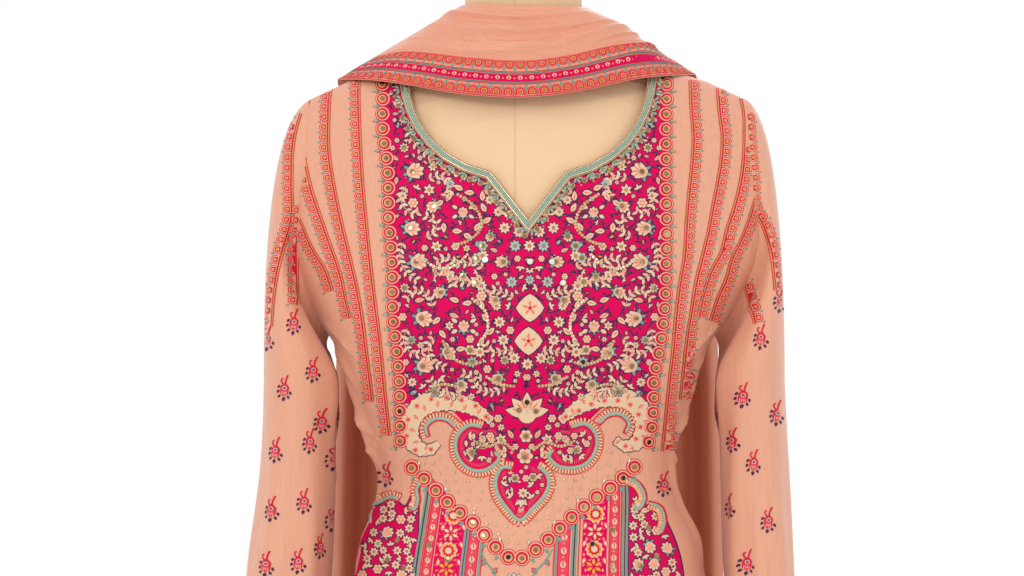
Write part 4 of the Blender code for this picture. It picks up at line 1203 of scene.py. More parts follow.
class Trims:
    """Small raised things on one cloth, gathered by finish into single meshes."""

    def __init__(self, name, lay):
        self.name, self.lay, self.parts = name, lay, {}

    def put(self, finish, points, faces):
        self.parts.setdefault(finish, []).append((np.asarray(points), faces))

    def frames(self, spots, height=0.0):
        """Place, normal, and two tangents at each spot, and whether it is on the cloth."""
        spots = np.asarray(spots, float)
        place, normal, found = self.lay(spots, np.full(len(spots), height))
        right = np.cross((0, 0, 1.0), normal)
        right = unit(right, 1e-9)
        return place, normal, right, np.cross(normal, right), found

    def plates(self, finish, spots, radius, height, sides=10, dome=0.0, tilt=0.0, seed=1):
        """Round plates, such as mirrors and sequins, slightly tilted."""
        place, normal, right, above, found = self.frames(spots, height)
        random = np.random.default_rng(seed)
        a = np.linspace(0, 2 * np.pi, sides, endpoint=False)
        for i in np.flatnonzero(found):
            lean = random.normal(0, tilt, 2)
            n = normal[i] + lean[0] * right[i] + lean[1] * above[i]
            n /= np.linalg.norm(n)
            u = np.cross(above[i], n)
            u /= np.linalg.norm(u)
            v = np.cross(n, u)
            r = radius if np.isscalar(radius) else radius[i]
            ring = place[i] + r * (np.cos(a)[:, None] * u + np.sin(a)[:, None] * v)
            top, half = place[i] + n * (dome + 0.0002), n * 0.0002
            points = np.concatenate([[top], ring + half, ring - half])
            faces = [(0, 1 + k, 1 + (k + 1) % sides) for k in range(sides)]
            faces += [(1 + k, 1 + sides + k, 1 + sides + (k + 1) % sides, 1 + (k + 1) % sides)
                for k in range(sides)]
            self.put(finish, points, faces)

    def beads(self, finish, spots, radius, height, stretch=1.0, degrees=None, sides=6, rings=4):
        """Round or long beads; a long one lies along its direction in the view."""
        place, normal, right, above, found = self.frames(spots, height)
        a = np.linspace(0, 2 * np.pi, sides, endpoint=False)
        b = np.linspace(0, np.pi, rings + 1)
        ball = [[[0, 0, 1.0]]]
        for t in b[1:-1]:
            across, up = np.sin(t), np.full(sides, np.cos(t))
            ball.append(np.stack([across * np.cos(a), across * np.sin(a), up], -1))
        ball = np.concatenate([*ball, [[0, 0, -1.0]]])
        last = len(ball) - 1
        faces = [(0, 1 + k, 1 + (k + 1) % sides) for k in range(sides)]
        for ring in range(rings - 2):
            base = 1 + ring * sides
            faces += [(base + k, base + sides + k, base + sides + (k + 1) % sides,
                base + (k + 1) % sides) for k in range(sides)]
        base = last - sides
        faces += [(last, base + (k + 1) % sides, base + k) for k in range(sides)]
        for i in np.flatnonzero(found):
            turn = math.radians(0 if degrees is None else degrees[i])
            u = right[i] * math.cos(turn) - above[i] * math.sin(turn)
            u /= np.linalg.norm(u)
            w = np.cross(normal[i], u)
            r = radius if np.isscalar(radius) else radius[i]
            p = ball[:, 2:3] * u * r * stretch + ball[:, :1] * w * r + ball[:, 1:2] * normal[i] * r
            self.put(finish, place[i] + p, faces)

    def balls(self, finish, centres, radius):
        """Small round beads at points in space."""
        flat = np.array([[0, 0, 1], [1, 0, 0], [0, 1, 0], [-1, 0, 0], [0, -1, 0], [0, 0, -1.0]])
        around = ((1, 0), (0, 1), (-1, 0), (0, -1))
        half = [[x, y, z] for z in (1, -1) for x, y in around]
        half += [[1, 1, 0], [-1, 1, 0], [-1, -1, 0], [1, -1, 0]]
        ball = np.concatenate([flat, np.array(half) / math.sqrt(2)]) * radius
        t, d = 0, 5
        faces = []
        for k in range(4):
            a, b = 1 + k, 1 + (k + 1) % 4
            ua, ub, la, lb, m = 6 + k, 6 + (k + 1) % 4, 10 + k, 10 + (k + 1) % 4, 14 + k
            faces += [(t, ua, ub), (ua, a, m), (ua, m, ub), (ub, m, b), (d, lb, la), (la, m, a),
                (la, lb, m), (lb, b, m)]
        for c in centres:
            self.put(finish, c + ball, faces)

    def rope(self, finish, points, width, rise, step=1.6, sink=0.0003, sides=7, twist=0.0):
        """A padded cord along a line, half sunk in the cloth."""
        path = line(points, step)
        place, normal, found = self.lay(path, np.full(len(path), 0.0))
        if not found.all():
            place, normal = place[found], normal[found]
        along = np.gradient(place, axis=0)
        along = unit(along, 1e-9)
        side = np.cross(normal, along)
        a = np.linspace(0, np.pi, sides)
        t = np.linspace(0, 1, len(place))
        ends = np.sqrt(np.clip(np.minimum(t, 1 - t) / (2.0 / len(place)), 0.05, 1))[:, None, None]
        lift = np.cos(a)[None, :, None] * side[:, None] * width / 2 * ends
        lift = lift + (np.sin(a)[None, :, None] * rise * ends - sink) * normal[:, None]
        if twist:
            phase = np.arange(len(place))[:, None] * twist + a[None] * 1.3
            lift = lift + (0.12 * rise * np.sin(phase))[..., None] * normal[:, None]
        grid = place[:, None] + lift
        n, m = grid.shape[:2]
        faces = quads(n, m)
        faces += [tuple(range(m)), tuple(range((n - 1) * m, n * m))[::-1]]
        faces += [(r * m, r * m + m, r * m + 2 * m - 1, r * m + m - 1) for r in range(n - 1)]
        self.put(finish, grid.reshape(-1, 3), faces)

    def finish(self):
        for finish, parts in self.parts.items():
            name, look = f"{self.name}_{finish}", TRIM_FINISHES[finish]
            piece = add_piece(name, *join(parts), look, TRIM_SLOTS[finish], sharp=50)
            piece.data.validate()


TRIM_FINISHES = {
    "mirror": plain_finish("mirror_glass", (0.30, 0.20, 0.11), 0.14, 1.0, 0.25, (120, 120, 120)),
    # The near-black mirror finish is a painted dark reflection, put on a few of the same mirrors
    "smoked": plain_finish("smoked_mirror", (0.05, 0.035, 0.035), 0.10, 1.0, 0.05, (60, 60, 60)),
    "gold": plain_finish("gold_thread", (0.60, 0.43, 0.23), 0.36, 0.45, 0.24, (900, 900, 900)),
    "sequin": plain_finish("sequins", (0.80, 0.62, 0.42), 0.22, 0.85, 0.10, (300, 300, 300)),
    "silver": plain_finish("silver_beads", (0.78, 0.76, 0.70), 0.25, 0.8, 0.12, (700, 700, 700)),
    "mint": plain_finish("mint_cord_thread", (0.27, 0.40, 0.305), 0.38, 0.0, 0.32,
        (1500, 1500, 1500), Sheen_Weight=0.2),
    "edging": plain_finish("edging_ribbon", (0.56, 0.37, 0.20), 0.5, 0.2, 0.25, (1200, 1200, 1200)),
}
TRIM_SLOTS = {
    "mirror": "peach_silk_printed",
    "smoked": "peach_silk_printed",
    "gold": "peach_silk_printed",
    "sequin": "peach_silk_printed",
    "silver": "mint_cord",
    "mint": "mint_cord",
    "edging": "mint_cord",
}


# Kameez front. Places are pixels of the front view, 0.9 mm apart

LEFT_BORDER = ((381, 62), (383, 90), (383, 128), (388, 171), (389, 221), (392.5, 265), (393, 310),
    (399, 371), (401, 448))
RIGHT_BORDER = ((667, 62), (666, 109), (666, 257), (665.5, 289), (663, 323), (658.5, 353),
    (654, 376), (653, 406), (649, 439), (646, 449))
LEFT_V = ((406, 462), (428, 482), (452, 506), (475, 525), (497, 548), (515, 562))
RIGHT_V = ((515, 562), (538, 548), (551, 537), (565, 523), (591, 501), (618, 482), (640, 461))
CENTRE_LINE = ((90, 528), (310, 530), (500, 521), (565, 515), (620, 512))
NECK_LINE = (
    (404, 60), (408, 85), (412, 105), (422, 125), (437, 145), (457, 160), (480, 170), (493, 176),
    (500, 185),
    (515, 205), (530, 222), (545, 195), (558, 172), (565, 167), (585, 158), (608, 145), (625, 130),
    (638, 112),
    (646, 95), (650, 78), (652, 60),
)

YOKE_HALF = 136
V_TIP_X = 515
BORDER_PITCH = 14.8
V_PITCH = 16.6
STRIPE_PITCH, STRIPE_R = 10.2, 4.4
SPRIG_SIZE = 0.95

front_ink = Ink("kameez_print", front.from_view, "peach_silk_printed", 0.014)
front_trims = Trims("kameez_trim", front.from_view)


def centre_x(y):
    """The column of the front's middle line at a row of the view."""
    return np.interp(y, *zip(*CENTRE_LINE))


def border_x(points, y):
    """The column of a border's line at a row of the view."""
    return np.interp(y, *zip(*sorted((q, p) for p, q in points)))


def yoke(dx, y):
    """A point of the yoke from its distance to the centre line, up to YOKE_HALF each
    way, and its row in the view."""
    left, right, middle = border_x(LEFT_BORDER, y), border_x(RIGHT_BORDER, y), centre_x(y)
    reach = np.where(np.asarray(dx) < 0, middle - left, right - middle)
    return middle + dx * reach / YOKE_HALF, y


def on_yoke(dx, y):
    """One point of the yoke, as plain numbers."""
    x, y = yoke(dx, y)
    return float(x), float(y)


def inside(edge, x, y):
    """Whether a point lies within a closed outline."""
    a, b = edge, np.roll(edge, -1, 0)
    crosses = (a[:, 1] > y) != (b[:, 1] > y)
    drop = np.where(b[:, 1] == a[:, 1], 1e-9, b[:, 1] - a[:, 1])
    at = a[:, 0] + (y - a[:, 1]) * (b[:, 0] - a[:, 0]) / drop
    return np.count_nonzero(crosses & (x < at)) % 2 == 1


def lay_ground():
    """The magenta ground between the borders, from the neckline to the scrolls."""
    columns, step = 97, 3.0
    foot_at = (-1, -0.75, -0.60, -0.42, -0.22, 0, 0.22, 0.42, 0.60, 0.75, 1)
    foot_y = (404, 402, 408, 432, 462, 474, 462, 432, 408, 402, 404)
    across = np.linspace(-1, 1, columns)
    foot = np.interp(across, foot_at, foot_y)
    down = np.arange(56, 474 + step, step)
    y = np.minimum(down[:, None], foot[None])
    x = yoke(YOKE_HALF * across[None], y)[0]
    neck = np.array(((404, 20), *NECK_LINE, (652, 20)), float)
    open_air = np.array([[inside(neck, *q) for q in row] for row in np.stack([x, y], -1)])
    faces = []
    for r in range(len(down) - 1):
        for c in range(columns - 1):
            if open_air[r : r + 2, c : c + 2].any() or down[r] >= foot[c : c + 2].max():
                continue
            a = r * columns + c
            faces += [(a, a + 1, a + columns + 1), (a, a + columns + 1, a + columns)]
    front_ink.draw("ground", (np.stack([x, y], -1).reshape(-1, 2), faces), 0)


# The yoke's motifs, by distance from the centre line and row in the view; then size,
# and turn in degrees
BLOSSOMS = (
    (103, 104, 8, 205), (90, 148, 8, 160), (112, 172, 11, 200), (116, 228, 10, 170),
    (92, 206, 8, 30),
    (112, 262, 11, 190), (108, 318, 11, 165), (88, 292, 8, 20), (110, 366, 11, 200),
    (84, 352, 9, 150),
    (70, 384, 8, 120), (26, 262, 8, 0), (34, 300, 7, 20), (30, 378, 8, 40), (48, 170, 7, 260),
    (100, 128, 6, 140), (66, 276, 6, 90), (38, 236, 6, 60),
)
WREATHS = ((64, 212, 22, 30), (66, 326, 25, -20))
DAISIES = (
    (10, 232, 6), (24, 228, 6), (30, 212, 5), (14, 246, 6), (38, 200, 5), (0, 246, 6),
    (18, 282, 6), (30, 322, 6), (26, 340, 6), (14, 358, 6), (0, 364, 6), (33, 306, 5), (0, 280, 5),
    (46, 256, 6), (48, 286, 6), (24, 360, 5), (122, 196, 5), (124, 288, 5), (50, 352, 6),
    (58, 362, 6),
    (76, 184, 5), (120, 340, 5), (60, 152, 5), (98, 392, 5), (122, 382, 5), (118, 148, 5),
)
VINES = (
    ((100, 116), (112, 130), (104, 148), (92, 158)),
    ((118, 184), (124, 200), (112, 214), (104, 210)),
    ((100, 180), (84, 176), (76, 190), (84, 200)),
    ((104, 238), (92, 232), (90, 222), (100, 216)),
    ((122, 240), (128, 254), (122, 272), (112, 280)),
    ((98, 276), (86, 268), (78, 276), (76, 290)),
    ((96, 310), (100, 296), (112, 290), (124, 300)),
    ((122, 326), (128, 342), (118, 354), (106, 352)),
    ((94, 336), (102, 342), (98, 362), (86, 368)),
    ((44, 270), (56, 262), (70, 264), (82, 258), (96, 262)),
    ((44, 276), (58, 282), (74, 280), (84, 272), (98, 274)),
    ((20, 384), (36, 392), (52, 388), (60, 376), (72, 372)),
    ((14, 300), (24, 294), (36, 290), (44, 296)),
    ((12, 352), (22, 350), (38, 352), (44, 344)),
    ((66, 392), (82, 396), (98, 386), (104, 378)),
    ((86, 118), (92, 134), (84, 142), (78, 150)),
    ((46, 188), (36, 192), (28, 204), (26, 216)),
)
SEQUIN_ARCS = (
    ((70, 194), (52, 208), (46, 226), (58, 240), (74, 246)),
    ((60, 254), (74, 266), (92, 268), (106, 258)),
    ((58, 298), (44, 312), (42, 330), (52, 346)),
    ((88, 340), (80, 356), (62, 364), (48, 362)),
    ((108, 392), (90, 384), (74, 386)),
    ((96, 162), (84, 166), (76, 176)),
    ((56, 440), (40, 446), (24, 442), (10, 450)),
    ((12, 386), (28, 384), (44, 376)),
)


def wreath(dx, y, r, turn, side):
    """A ring of leaves round a small upright flower."""
    for i in range(11):
        a = turn + 30 * i
        over, up = turned_point(dx, y, a, r)
        tilt = a + 90 + (28 if i % 2 else -28)
        leaf(front_ink, *on_yoke(side * over, up), tilt, 10, 5.2, vein="coral", flip=side, level=3)
    turns = np.linspace(turn, turn + 305, 26)
    ring = [on_yoke(side * over, up) for over, up in (turned_point(dx, y, a, r - 2) for a in turns)]
    front_ink.draw("navy", stroke(ring, 1.5, 0.3), 2)
    x, v = on_yoke(side * dx, y)
    blossom(front_ink, x, v + 2, r * 0.30, -90, side)
    for a in (150, 30, 210, -30):
        foot = turned_point(x, v, a, r * 0.30, side)
        leaf(front_ink, *foot, a, r * 0.28, r * 0.16, flip=side, level=3)


def lay_half(side):
    """The flowers of one half of the yoke."""
    for dx, y, r, turn in BLOSSOMS:
        x, v = on_yoke(side * dx, y)
        blossom(front_ink, x, v, r, turn, side)
    for dx, y, r, turn in WREATHS:
        wreath(dx, y, r, turn, side)
    for dx, y, r in DAISIES:
        if dx or side > 0:
            x, v = on_yoke(side * dx, y)
            fill = "sky" if (dx + y) % 5 == 0 else "cream"
            daisy(front_ink, x, v, r, fill=fill, turn=10 * side)
    for vine in VINES:
        path = line([yoke(side * dx, y) for dx, y in vine], 2.0)
        front_ink.draw("navy", stroke(path, 2.0, 0.5), 2)
        front_ink.draw("cream", stroke(path[1:-1], 0.8, 0.6), 3)
        along = np.gradient(path, axis=0)
        for i in range(2, len(path) - 1, 3):
            way = math.degrees(math.atan2(along[i][1], along[i][0]))
            for lean in (-52, 52):
                fill = "cream" if i % 2 else "pink"
                leaf(front_ink, *path[i], way + lean, 6.4, 3.1, fill, level=3)
    for dx, y in ((52, 258), (54, 282), (46, 246), (48, 296), (60, 350)):
        x, v = on_yoke(side * dx, y)
        ring_flower(front_ink, x, v, 5.2, fill="sky" if y < 270 else "cream", heart="coral")


def in_yoke(dx, y, clear=0.0):
    """Whether a place of the yoke's half lies on the magenta ground."""
    neck_x, neck_y = zip(*NECK_LINE)
    if y < np.interp(528 + dx, neck_x, neck_y) + 9 + clear or dx > 132 - clear:
        return False
    return y < 398 or (dx < 44 and y < 470 - dx * 0.9)


def lay_twigs():
    """Dark scrolling twigs all over the ground, under the flowers."""
    random = np.random.default_rng(23)
    for row, y0 in enumerate(np.arange(70, 470, 12.0)):
        for dx0 in np.arange(3 + 6.5 * (row % 2), 134, 13.0):
            dx, y = dx0 + random.uniform(-2, 2), y0 + random.uniform(-2, 2)
            if not in_yoke(dx, y):
                continue
            turn, bend = random.uniform(0, 2 * np.pi), random.choice([-0.14, 0.14])
            t = np.linspace(-6.5, 6.5, 7)
            way = turn + bend * t
            curl = np.stack([dx + t * np.cos(way), y + t * np.sin(way)], -1)
            for side in (-1, 1):
                path = np.array([on_yoke(side * a, b) for a, b in curl])
                front_ink.draw("navy", stroke(path, 1.5, 0.6), 1)
                for k, lean in ((1, 50), (2, -50), (4, 50), (5, -50)):
                    along = path[k + 1] - path[k - 1]
                    way_here = math.degrees(math.atan2(along[1], along[0]))
                    front_ink.draw("navy", moved(petal(4.2, 2.0), *path[k], way_here + lean), 1)


def fill_gaps():
    """Small leaves, buds and dots in what is left of the ground."""
    random = np.random.default_rng(7)
    taken = [(dx, y, r + 1) for dx, y, r, t in BLOSSOMS] + [(dx, y, r) for dx, y, r in DAISIES]
    for dx, y, r, t in WREATHS:
        round_it = np.linspace(0, 6.2, 12)
        taken += [(dx + r * math.cos(a), y + r * math.sin(a), 5) for a in round_it]
        taken.append((dx, y, 8))
    taken += [(float(q[0]), float(q[1]), 2.6) for vine in VINES for q in line(vine, 5)]
    taken += [(0, 308, 15), (0, 341, 15), (0, 408, 24), (0, 436, 7), (0, 456, 8)]
    for attempt in range(9000):
        dx, y = random.uniform(0, 131), random.uniform(70, 468)
        size = random.choice([6.0, 4.8, 3.8] if attempt < 5000 else [3.0, 2.4])
        if not in_yoke(dx, y, size):
            continue
        if any((dx - a) ** 2 + (y - b) ** 2 < (r + size + 0.8) ** 2 for a, b, r in taken):
            continue
        taken.append((dx, y, size))
        turn, kind = random.uniform(0, 360), random.integers(0, 5)
        for side in (-1, 1):
            px, py = on_yoke(side * dx, y)
            if kind == 0:
                daisy(front_ink, px, py, size, 6, "cream", "amber", turn)
            elif kind == 1:
                for lean in (-70, 0, 70):
                    leaf(front_ink, px, py, turn + lean, size * 1.25, size * 0.60, flip=side)
            elif kind == 2:
                foot = turned_point(px, py, turn, -size, side)
                leaf(front_ink, *foot, turn, size * 2.1, size, "pink", vein="coral", flip=side)
            elif kind == 3:
                ring_flower(front_ink, px, py, size * 0.85, heart="coral")
            else:
                for lean in (-38, 38):
                    front_ink.draw("navy",
                        moved(petal(size * 1.7, size * 0.7), px, py, turn + lean, flip=side), 3)
                leaf(front_ink, px, py, turn, size * 1.2, size * 0.6, "sky"
                    if size > 4 else "amber", flip=side)


def medallion(y, r):
    """A four-lobed medallion with a small spray in it."""
    x, v = on_yoke(0, y)
    for colour, size, level in (("navy", r + 1.4, 5), ("cream", r, 6)):
        for a in (0, 90, 180, 270):
            front_ink.draw(colour, moved(petal(size, size * 1.25), x, v, a), level)
        front_ink.draw(colour, moved(disc(size * 0.72, 16), x, v), level)
    for a in range(0, 360, 72):
        front_ink.draw("coral", moved(petal(r * 0.42, r * 0.20, start=r * 0.14), x, v, a - 90), 7)
    front_ink.draw("crimson", moved(disc(r * 0.14, 8), x, v), 8)


def palmette(x, y, r):
    """The fan of petals over the lower scrolls."""
    for colour, grow, level in (("navy", 1.3, 6), ("cream", 0, 7)):
        for a in (-168, -134, -90, -46, -12):
            front_ink.draw(colour, moved(petal(r + grow, r * 0.46 + grow), x, y, a), level)
        front_ink.draw(colour, moved(disc(r * 0.42 + grow / 2, 14), x, y), level)
    for a in (-160, -134, -112, -90, -68, -46, -20):
        front_ink.draw("coral", moved(petal(r * 0.5, r * 0.09, start=r * 0.25), x, y, a), 8)
    ring_flower(front_ink, x - 8, y - 3, 3.6)
    ring_flower(front_ink, x + 9, y - 3, 3.6)


# Padded cords from start to end, and the side of each that carries the fringe
CORDS = (
    ((483, 427), (470, 425), (458, 435), (456, 450), (464, 465), (478, 471), (491, 467),
        (499, 457), (494, 451)),
    ((457, 428), (446, 419), (434, 419), (426, 427), (428, 437)),
    ((513, 468), (503, 467), (496, 479), (497, 492), (506, 507), (520, 520), (533, 508),
        (544, 496), (549, 482), (546, 473), (537, 466)),
    ((570, 427), (586, 424), (596, 435), (595, 451), (585, 464), (569, 468), (555, 464),
        (549, 455), (554, 449)),
    ((598, 424), (608, 415), (620, 414), (629, 423), (625, 434)),
    ((372, 525), (380, 503), (392, 497), (400, 500)),
    ((408, 507), (414, 509), (418, 500), (417, 489), (421, 480)),
    ((627, 478), (638, 484), (644, 500), (637, 509), (632, 503)),
    ((648, 503), (660, 508), (664, 522), (660, 534)),
)
FRINGE_SIDES = (1, 1, 1, -1, -1, -1, -1, 1, 1)
# The scrolls' lobes: middle and outline
LOBES = (
    ((472, 448), ((483, 427), (470, 425), (458, 435), (456, 450), (464, 465), (478, 471),
        (491, 467), (499, 457), (505, 440), (498, 428))),
    ((522, 488), ((513, 467), (503, 467), (496, 479), (497, 492), (506, 507), (520, 520),
        (533, 508), (544, 496), (549, 482), (546, 473), (537, 465), (524, 460))),
    ((576, 446), ((570, 427), (586, 424), (596, 435), (595, 451), (585, 464), (569, 468),
        (555, 464), (549, 455), (546, 440), (556, 428))),
)


ACANTHUS = (
    ((492, 421), (475, 409), (457, 402), (438, 401), (422, 406), (412, 419), (410, 435),
        (417, 447), (429, 450), (439, 443)),
    ((560, 421), (577, 408), (596, 399), (616, 397), (632, 402), (642, 415), (643, 430),
        (636, 443), (625, 446), (615, 440)),
)


def fringe(path, outward, reach=6.0, pitch=2.7):
    """Small tabs of thread along the outer side of a cord."""
    spots, ways = spaced(path, pitch)
    for (x, y), way in zip(spots, ways):
        turn = way + 90 * outward
        foot = turned_point(x, y, turn, 1.8)
        for colour, half, far, level in (
            ("crimson", pitch * 0.5, reach - 2.0, 4),
            ("amber", 0.92, reach - 2.6, 5),
            ("cream", 0.78, reach - 3.0, 6),
        ):
            tab = np.array([[0, -half], [0, half], [far, half], [far, -half]])
            front_ink.draw(colour, moved((tab, [(0, 2, 1), (0, 3, 2)]), *foot, turn), level)
            front_ink.draw(colour,
                moved(arch(half, 0.1, 7), *turned_point(*foot, turn, far), turn), level)


def acanthus(points):
    """A cream curl with a lobed edge and small flowers."""
    path = line(points, 2.4)
    front_ink.draw("navy", stroke(path, 21.5, 0.66, 4), 2)
    front_ink.draw("cream", stroke(path, 19.4, 0.70, 4), 3)
    along = np.gradient(path, axis=0)
    n = len(path)
    for i in range(1, n - 1, 2):
        way = math.degrees(math.atan2(along[i][1], along[i][0]))
        half = 9.7 * (1 - 0.70 * (2 * i / (n - 1) - 1) ** 2)
        for lean in (-90, 90):
            spot = turned_point(*path[i], way + lean, half - 1.2)
            reach = 3.4 if i % 4 == 1 else 2.5
            front_ink.draw("navy", moved(disc(reach, 9), *spot), 2)
            front_ink.draw("cream", moved(disc(reach - 0.9, 9), *spot), 3)
    for i in range(3, n - 2, 3):
        way = math.degrees(math.atan2(along[i][1], along[i][0]))
        shift = 3.2 if i % 2 else -3.2
        spot = turned_point(*path[i], way + 90, shift if 6 < i < n - 6 else 0)
        if i % 2:
            daisy_print(spot, 3.4)
        else:
            for lean in (-40, 10, 60):
                front_ink.draw("coral", moved(petal(4.4, 1.7, start=0.4), *spot, way + lean), 4)


def daisy_print(spot, r):
    """A small coral flower without a rim."""
    for a in range(0, 360, 60):
        front_ink.draw("coral", moved(petal(r, r * 0.55), *spot, a + 15), 4)
    front_ink.draw("crimson", moved(disc(r * 0.3, 8), *spot), 5)


def lay_cartouche():
    """The padded scrolls under the yoke, their lobes and what fills them."""
    for (x, y), outline in LOBES:
        edge = line(list(outline) + [outline[0]], 2.5)
        inner = (edge - (x, y)) * 0.5 + (x, y)
        n = len(edge)
        points = np.concatenate([edge, inner, [[x, y]]])
        faces = grid_faces(2, n, False) + [(n + i, n + i + 1, 2 * n) for i in range(n - 1)]
        front_ink.draw("ground", (points, faces), 1)
    for points in ACANTHUS:
        acanthus(points)
    for path, out in zip(CORDS, FRINGE_SIDES):
        fringe(path, out)
        front_ink.draw("crimson", stroke(line(path, 2.0), 6.4, 0.1), 4)
    for path in CORDS:
        front_trims.rope("mint", path, 0.0036, 0.0018, twist=1.5)
    for x, y, r, turn in ((472, 452, 6, 200), (482, 440, 5, 300), (576, 450, 6, -20),
        (566, 440, 5, 240)):
        blossom(front_ink, x, y, r, turn)
    for x, y in ((466, 440), (486, 458), (583, 438), (563, 456), (474, 433), (573, 433)):
        leaf(front_ink, x, y, 40 + x % 60, 7, 3.4)
    ring_flower(front_ink, 515, 478, 4.5)
    ring_flower(front_ink, 533, 477, 4.5)
    daisy(front_ink, 523, 493, 5.5)
    for a in (40, 90, 140):
        leaf(front_ink, 521, 500, a, 8, 3.6)
    for x, y, r in ((526, 436, 6.5), (525, 456, 8)):
        ring_flower(front_ink, x, y, r, heart="coral")
    random = np.random.default_rng(31)
    for (cx, cy), outline in LOBES:
        edge = line(list(outline) + [outline[0]], 2.5)
        for x, y in edge:
            a = math.degrees(math.atan2(cy - y, cx - x))
            front_ink.draw("rose", moved(petal(5.2, 1.3, start=3.4), x, y, a), 2)
        taken = []
        for attempt in range(700):
            x, y = random.uniform(cx - 40, cx + 40), random.uniform(cy - 40, cy + 40)
            size = 4.4 if attempt < 300 else 2.8
            gap = np.hypot(edge[:, 0] - x, edge[:, 1] - y).min()
            if gap < size + 3.4 or not inside(edge, x, y):
                continue
            if any(math.hypot(x - a, y - b) < 0.9 * (r + size) for a, b, r in taken):
                continue
            taken.append((x, y, size))
            turn = random.uniform(0, 360)
            if attempt % 3:
                for lean in (-60, 0, 60):
                    leaf(front_ink, x, y, turn + lean, size * 1.2, size * 0.55)
            else:
                ring_flower(front_ink, x, y, size * 0.8, heart="coral")
    palmette(527, 414, 22)


def lay_borders():
    """The rings down both sides of the yoke and along the V, with buds between."""
    for points, outward in ((LEFT_BORDER, 180), (RIGHT_BORDER, 0)):
        side = math.cos(math.radians(outward))
        for x, y in spaced(points, BORDER_PITCH)[0]:
            border_ring(front_ink, x, y, outward, 7.5)
            mid = (x + side * 5.4, y + BORDER_PITCH / 2)
            front_ink.draw("teal", moved(petal(4.8, 3.0, start=-2.4), *mid, 90 + 28 * side), 4)
            front_ink.draw("crimson", moved(petal(5.8, 3.9, start=-2.9), *mid, 90 + 28 * side), 3)
    for points in (LEFT_V, RIGHT_V):
        spots, ways = spaced(points, V_PITCH)
        for x, y in spots:
            border_ring(front_ink, x, y, 90, 8.2)
        for (x, y), way in zip(spots[:-1], ways[:-1]):
            at = turned_point(*turned_point(x, y, way, V_PITCH / 2), way + 90, 6.5)
            front_ink.draw("teal", moved(petal(5.5, 3.6, start=-1.5), *at, way + 90), 4)


BODY_STRIPES = (
    (((354, 78), (354, 89), (355, 131), (358, 185), (362, 228), (369, 292), (375, 339), (381, 400),
        (385, 436)), 1),
    (((328, 82), (326, 90), (324, 119), (324, 149), (329, 185), (337, 224), (344, 253), (353, 292),
        (360, 333), (366, 384), (368, 402)), 1),
    (((305, 96), (303, 103), (300, 128), (300, 158), (307, 190), (317, 221), (326, 247),
        (337, 278), (342, 301), (346, 319)), 1),
    (((295, 221), (309, 251), (321, 271), (328, 292)), 1),
    (((695, 80), (696, 109), (698, 139), (696, 171), (693, 200), (691, 225), (689, 257),
        (684, 287), (679, 330), (673, 390), (667, 452)), -1),
    (((722, 85), (724, 111), (727, 136), (726, 159), (722, 184), (718, 205), (713, 232),
        (707, 257), (700, 284), (694, 320), (687, 380), (685, 400)), -1),
    (((745, 95), (748, 109), (749, 136), (748, 161), (744, 187), (739, 207), (731, 232),
        (725, 255), (716, 271), (709, 291), (703, 318)), -1),
    (((760, 200), (754, 218), (745, 241), (737, 257), (731, 279), (722, 300), (715, 322)), -1),
)
BODY_SPRIGS = ((387, 474), (664, 484))

# The lower panel: its last row, the flowered side pieces' outlines, the middle's vine,
# and the colours and turns of the small petals on its bands
PANEL_FOOT = 1120
SIDE_PIECES = (
    ((420, 482), (412, 494), (405, 506), (393, 498), (381, 504), (373, 521), (366, 536),
        (359, 556), (354, 580), (356, 610), (372, 640), (396, 652), (417, 672), (417, 580)),
    ((628, 482), (637, 494), (644, 506), (652, 503), (662, 510), (668, 524), (675, 540),
        (681, 560), (684, 590), (680, 616), (664, 642), (644, 654), (629, 672), (628, 580)),
)
PANEL_VINE = ((36, 549), (29, 562), (22, 570), (13, 590), (4, 612), (0, 630))
SPECKS = (("rose", 30), ("coral", -30), ("pink", 90))


def lean(x, y):
    """A lower panel's point from its place at the V, along the panel's leaning lines."""
    return x + (centre_x(y) - V_TIP_X) + (x - V_TIP_X) * 0.0007 * (y - 540), y


def v_edge(x):
    """The row of the V's line at a column of the view."""
    path = np.concatenate([np.array(LEFT_V), np.array(RIGHT_V)[1:]])
    return np.interp(x, path[:, 0], path[:, 1])


def band(colour, x0, x1, level=0, foot=PANEL_FOOT, columns=5, rows=90):
    """A straight band of the lower panel, from the V down."""
    x = np.linspace(x0, x1, columns)
    top = v_edge(x) + 2
    y = top + (foot - top) * np.linspace(0, 1, rows)[:, None]
    x, y = lean(x + 0 * y, y)
    points = np.stack([x, y], -1).reshape(-1, 2)
    front_ink.draw(colour, (points, grid_faces(rows, columns, False)), level)


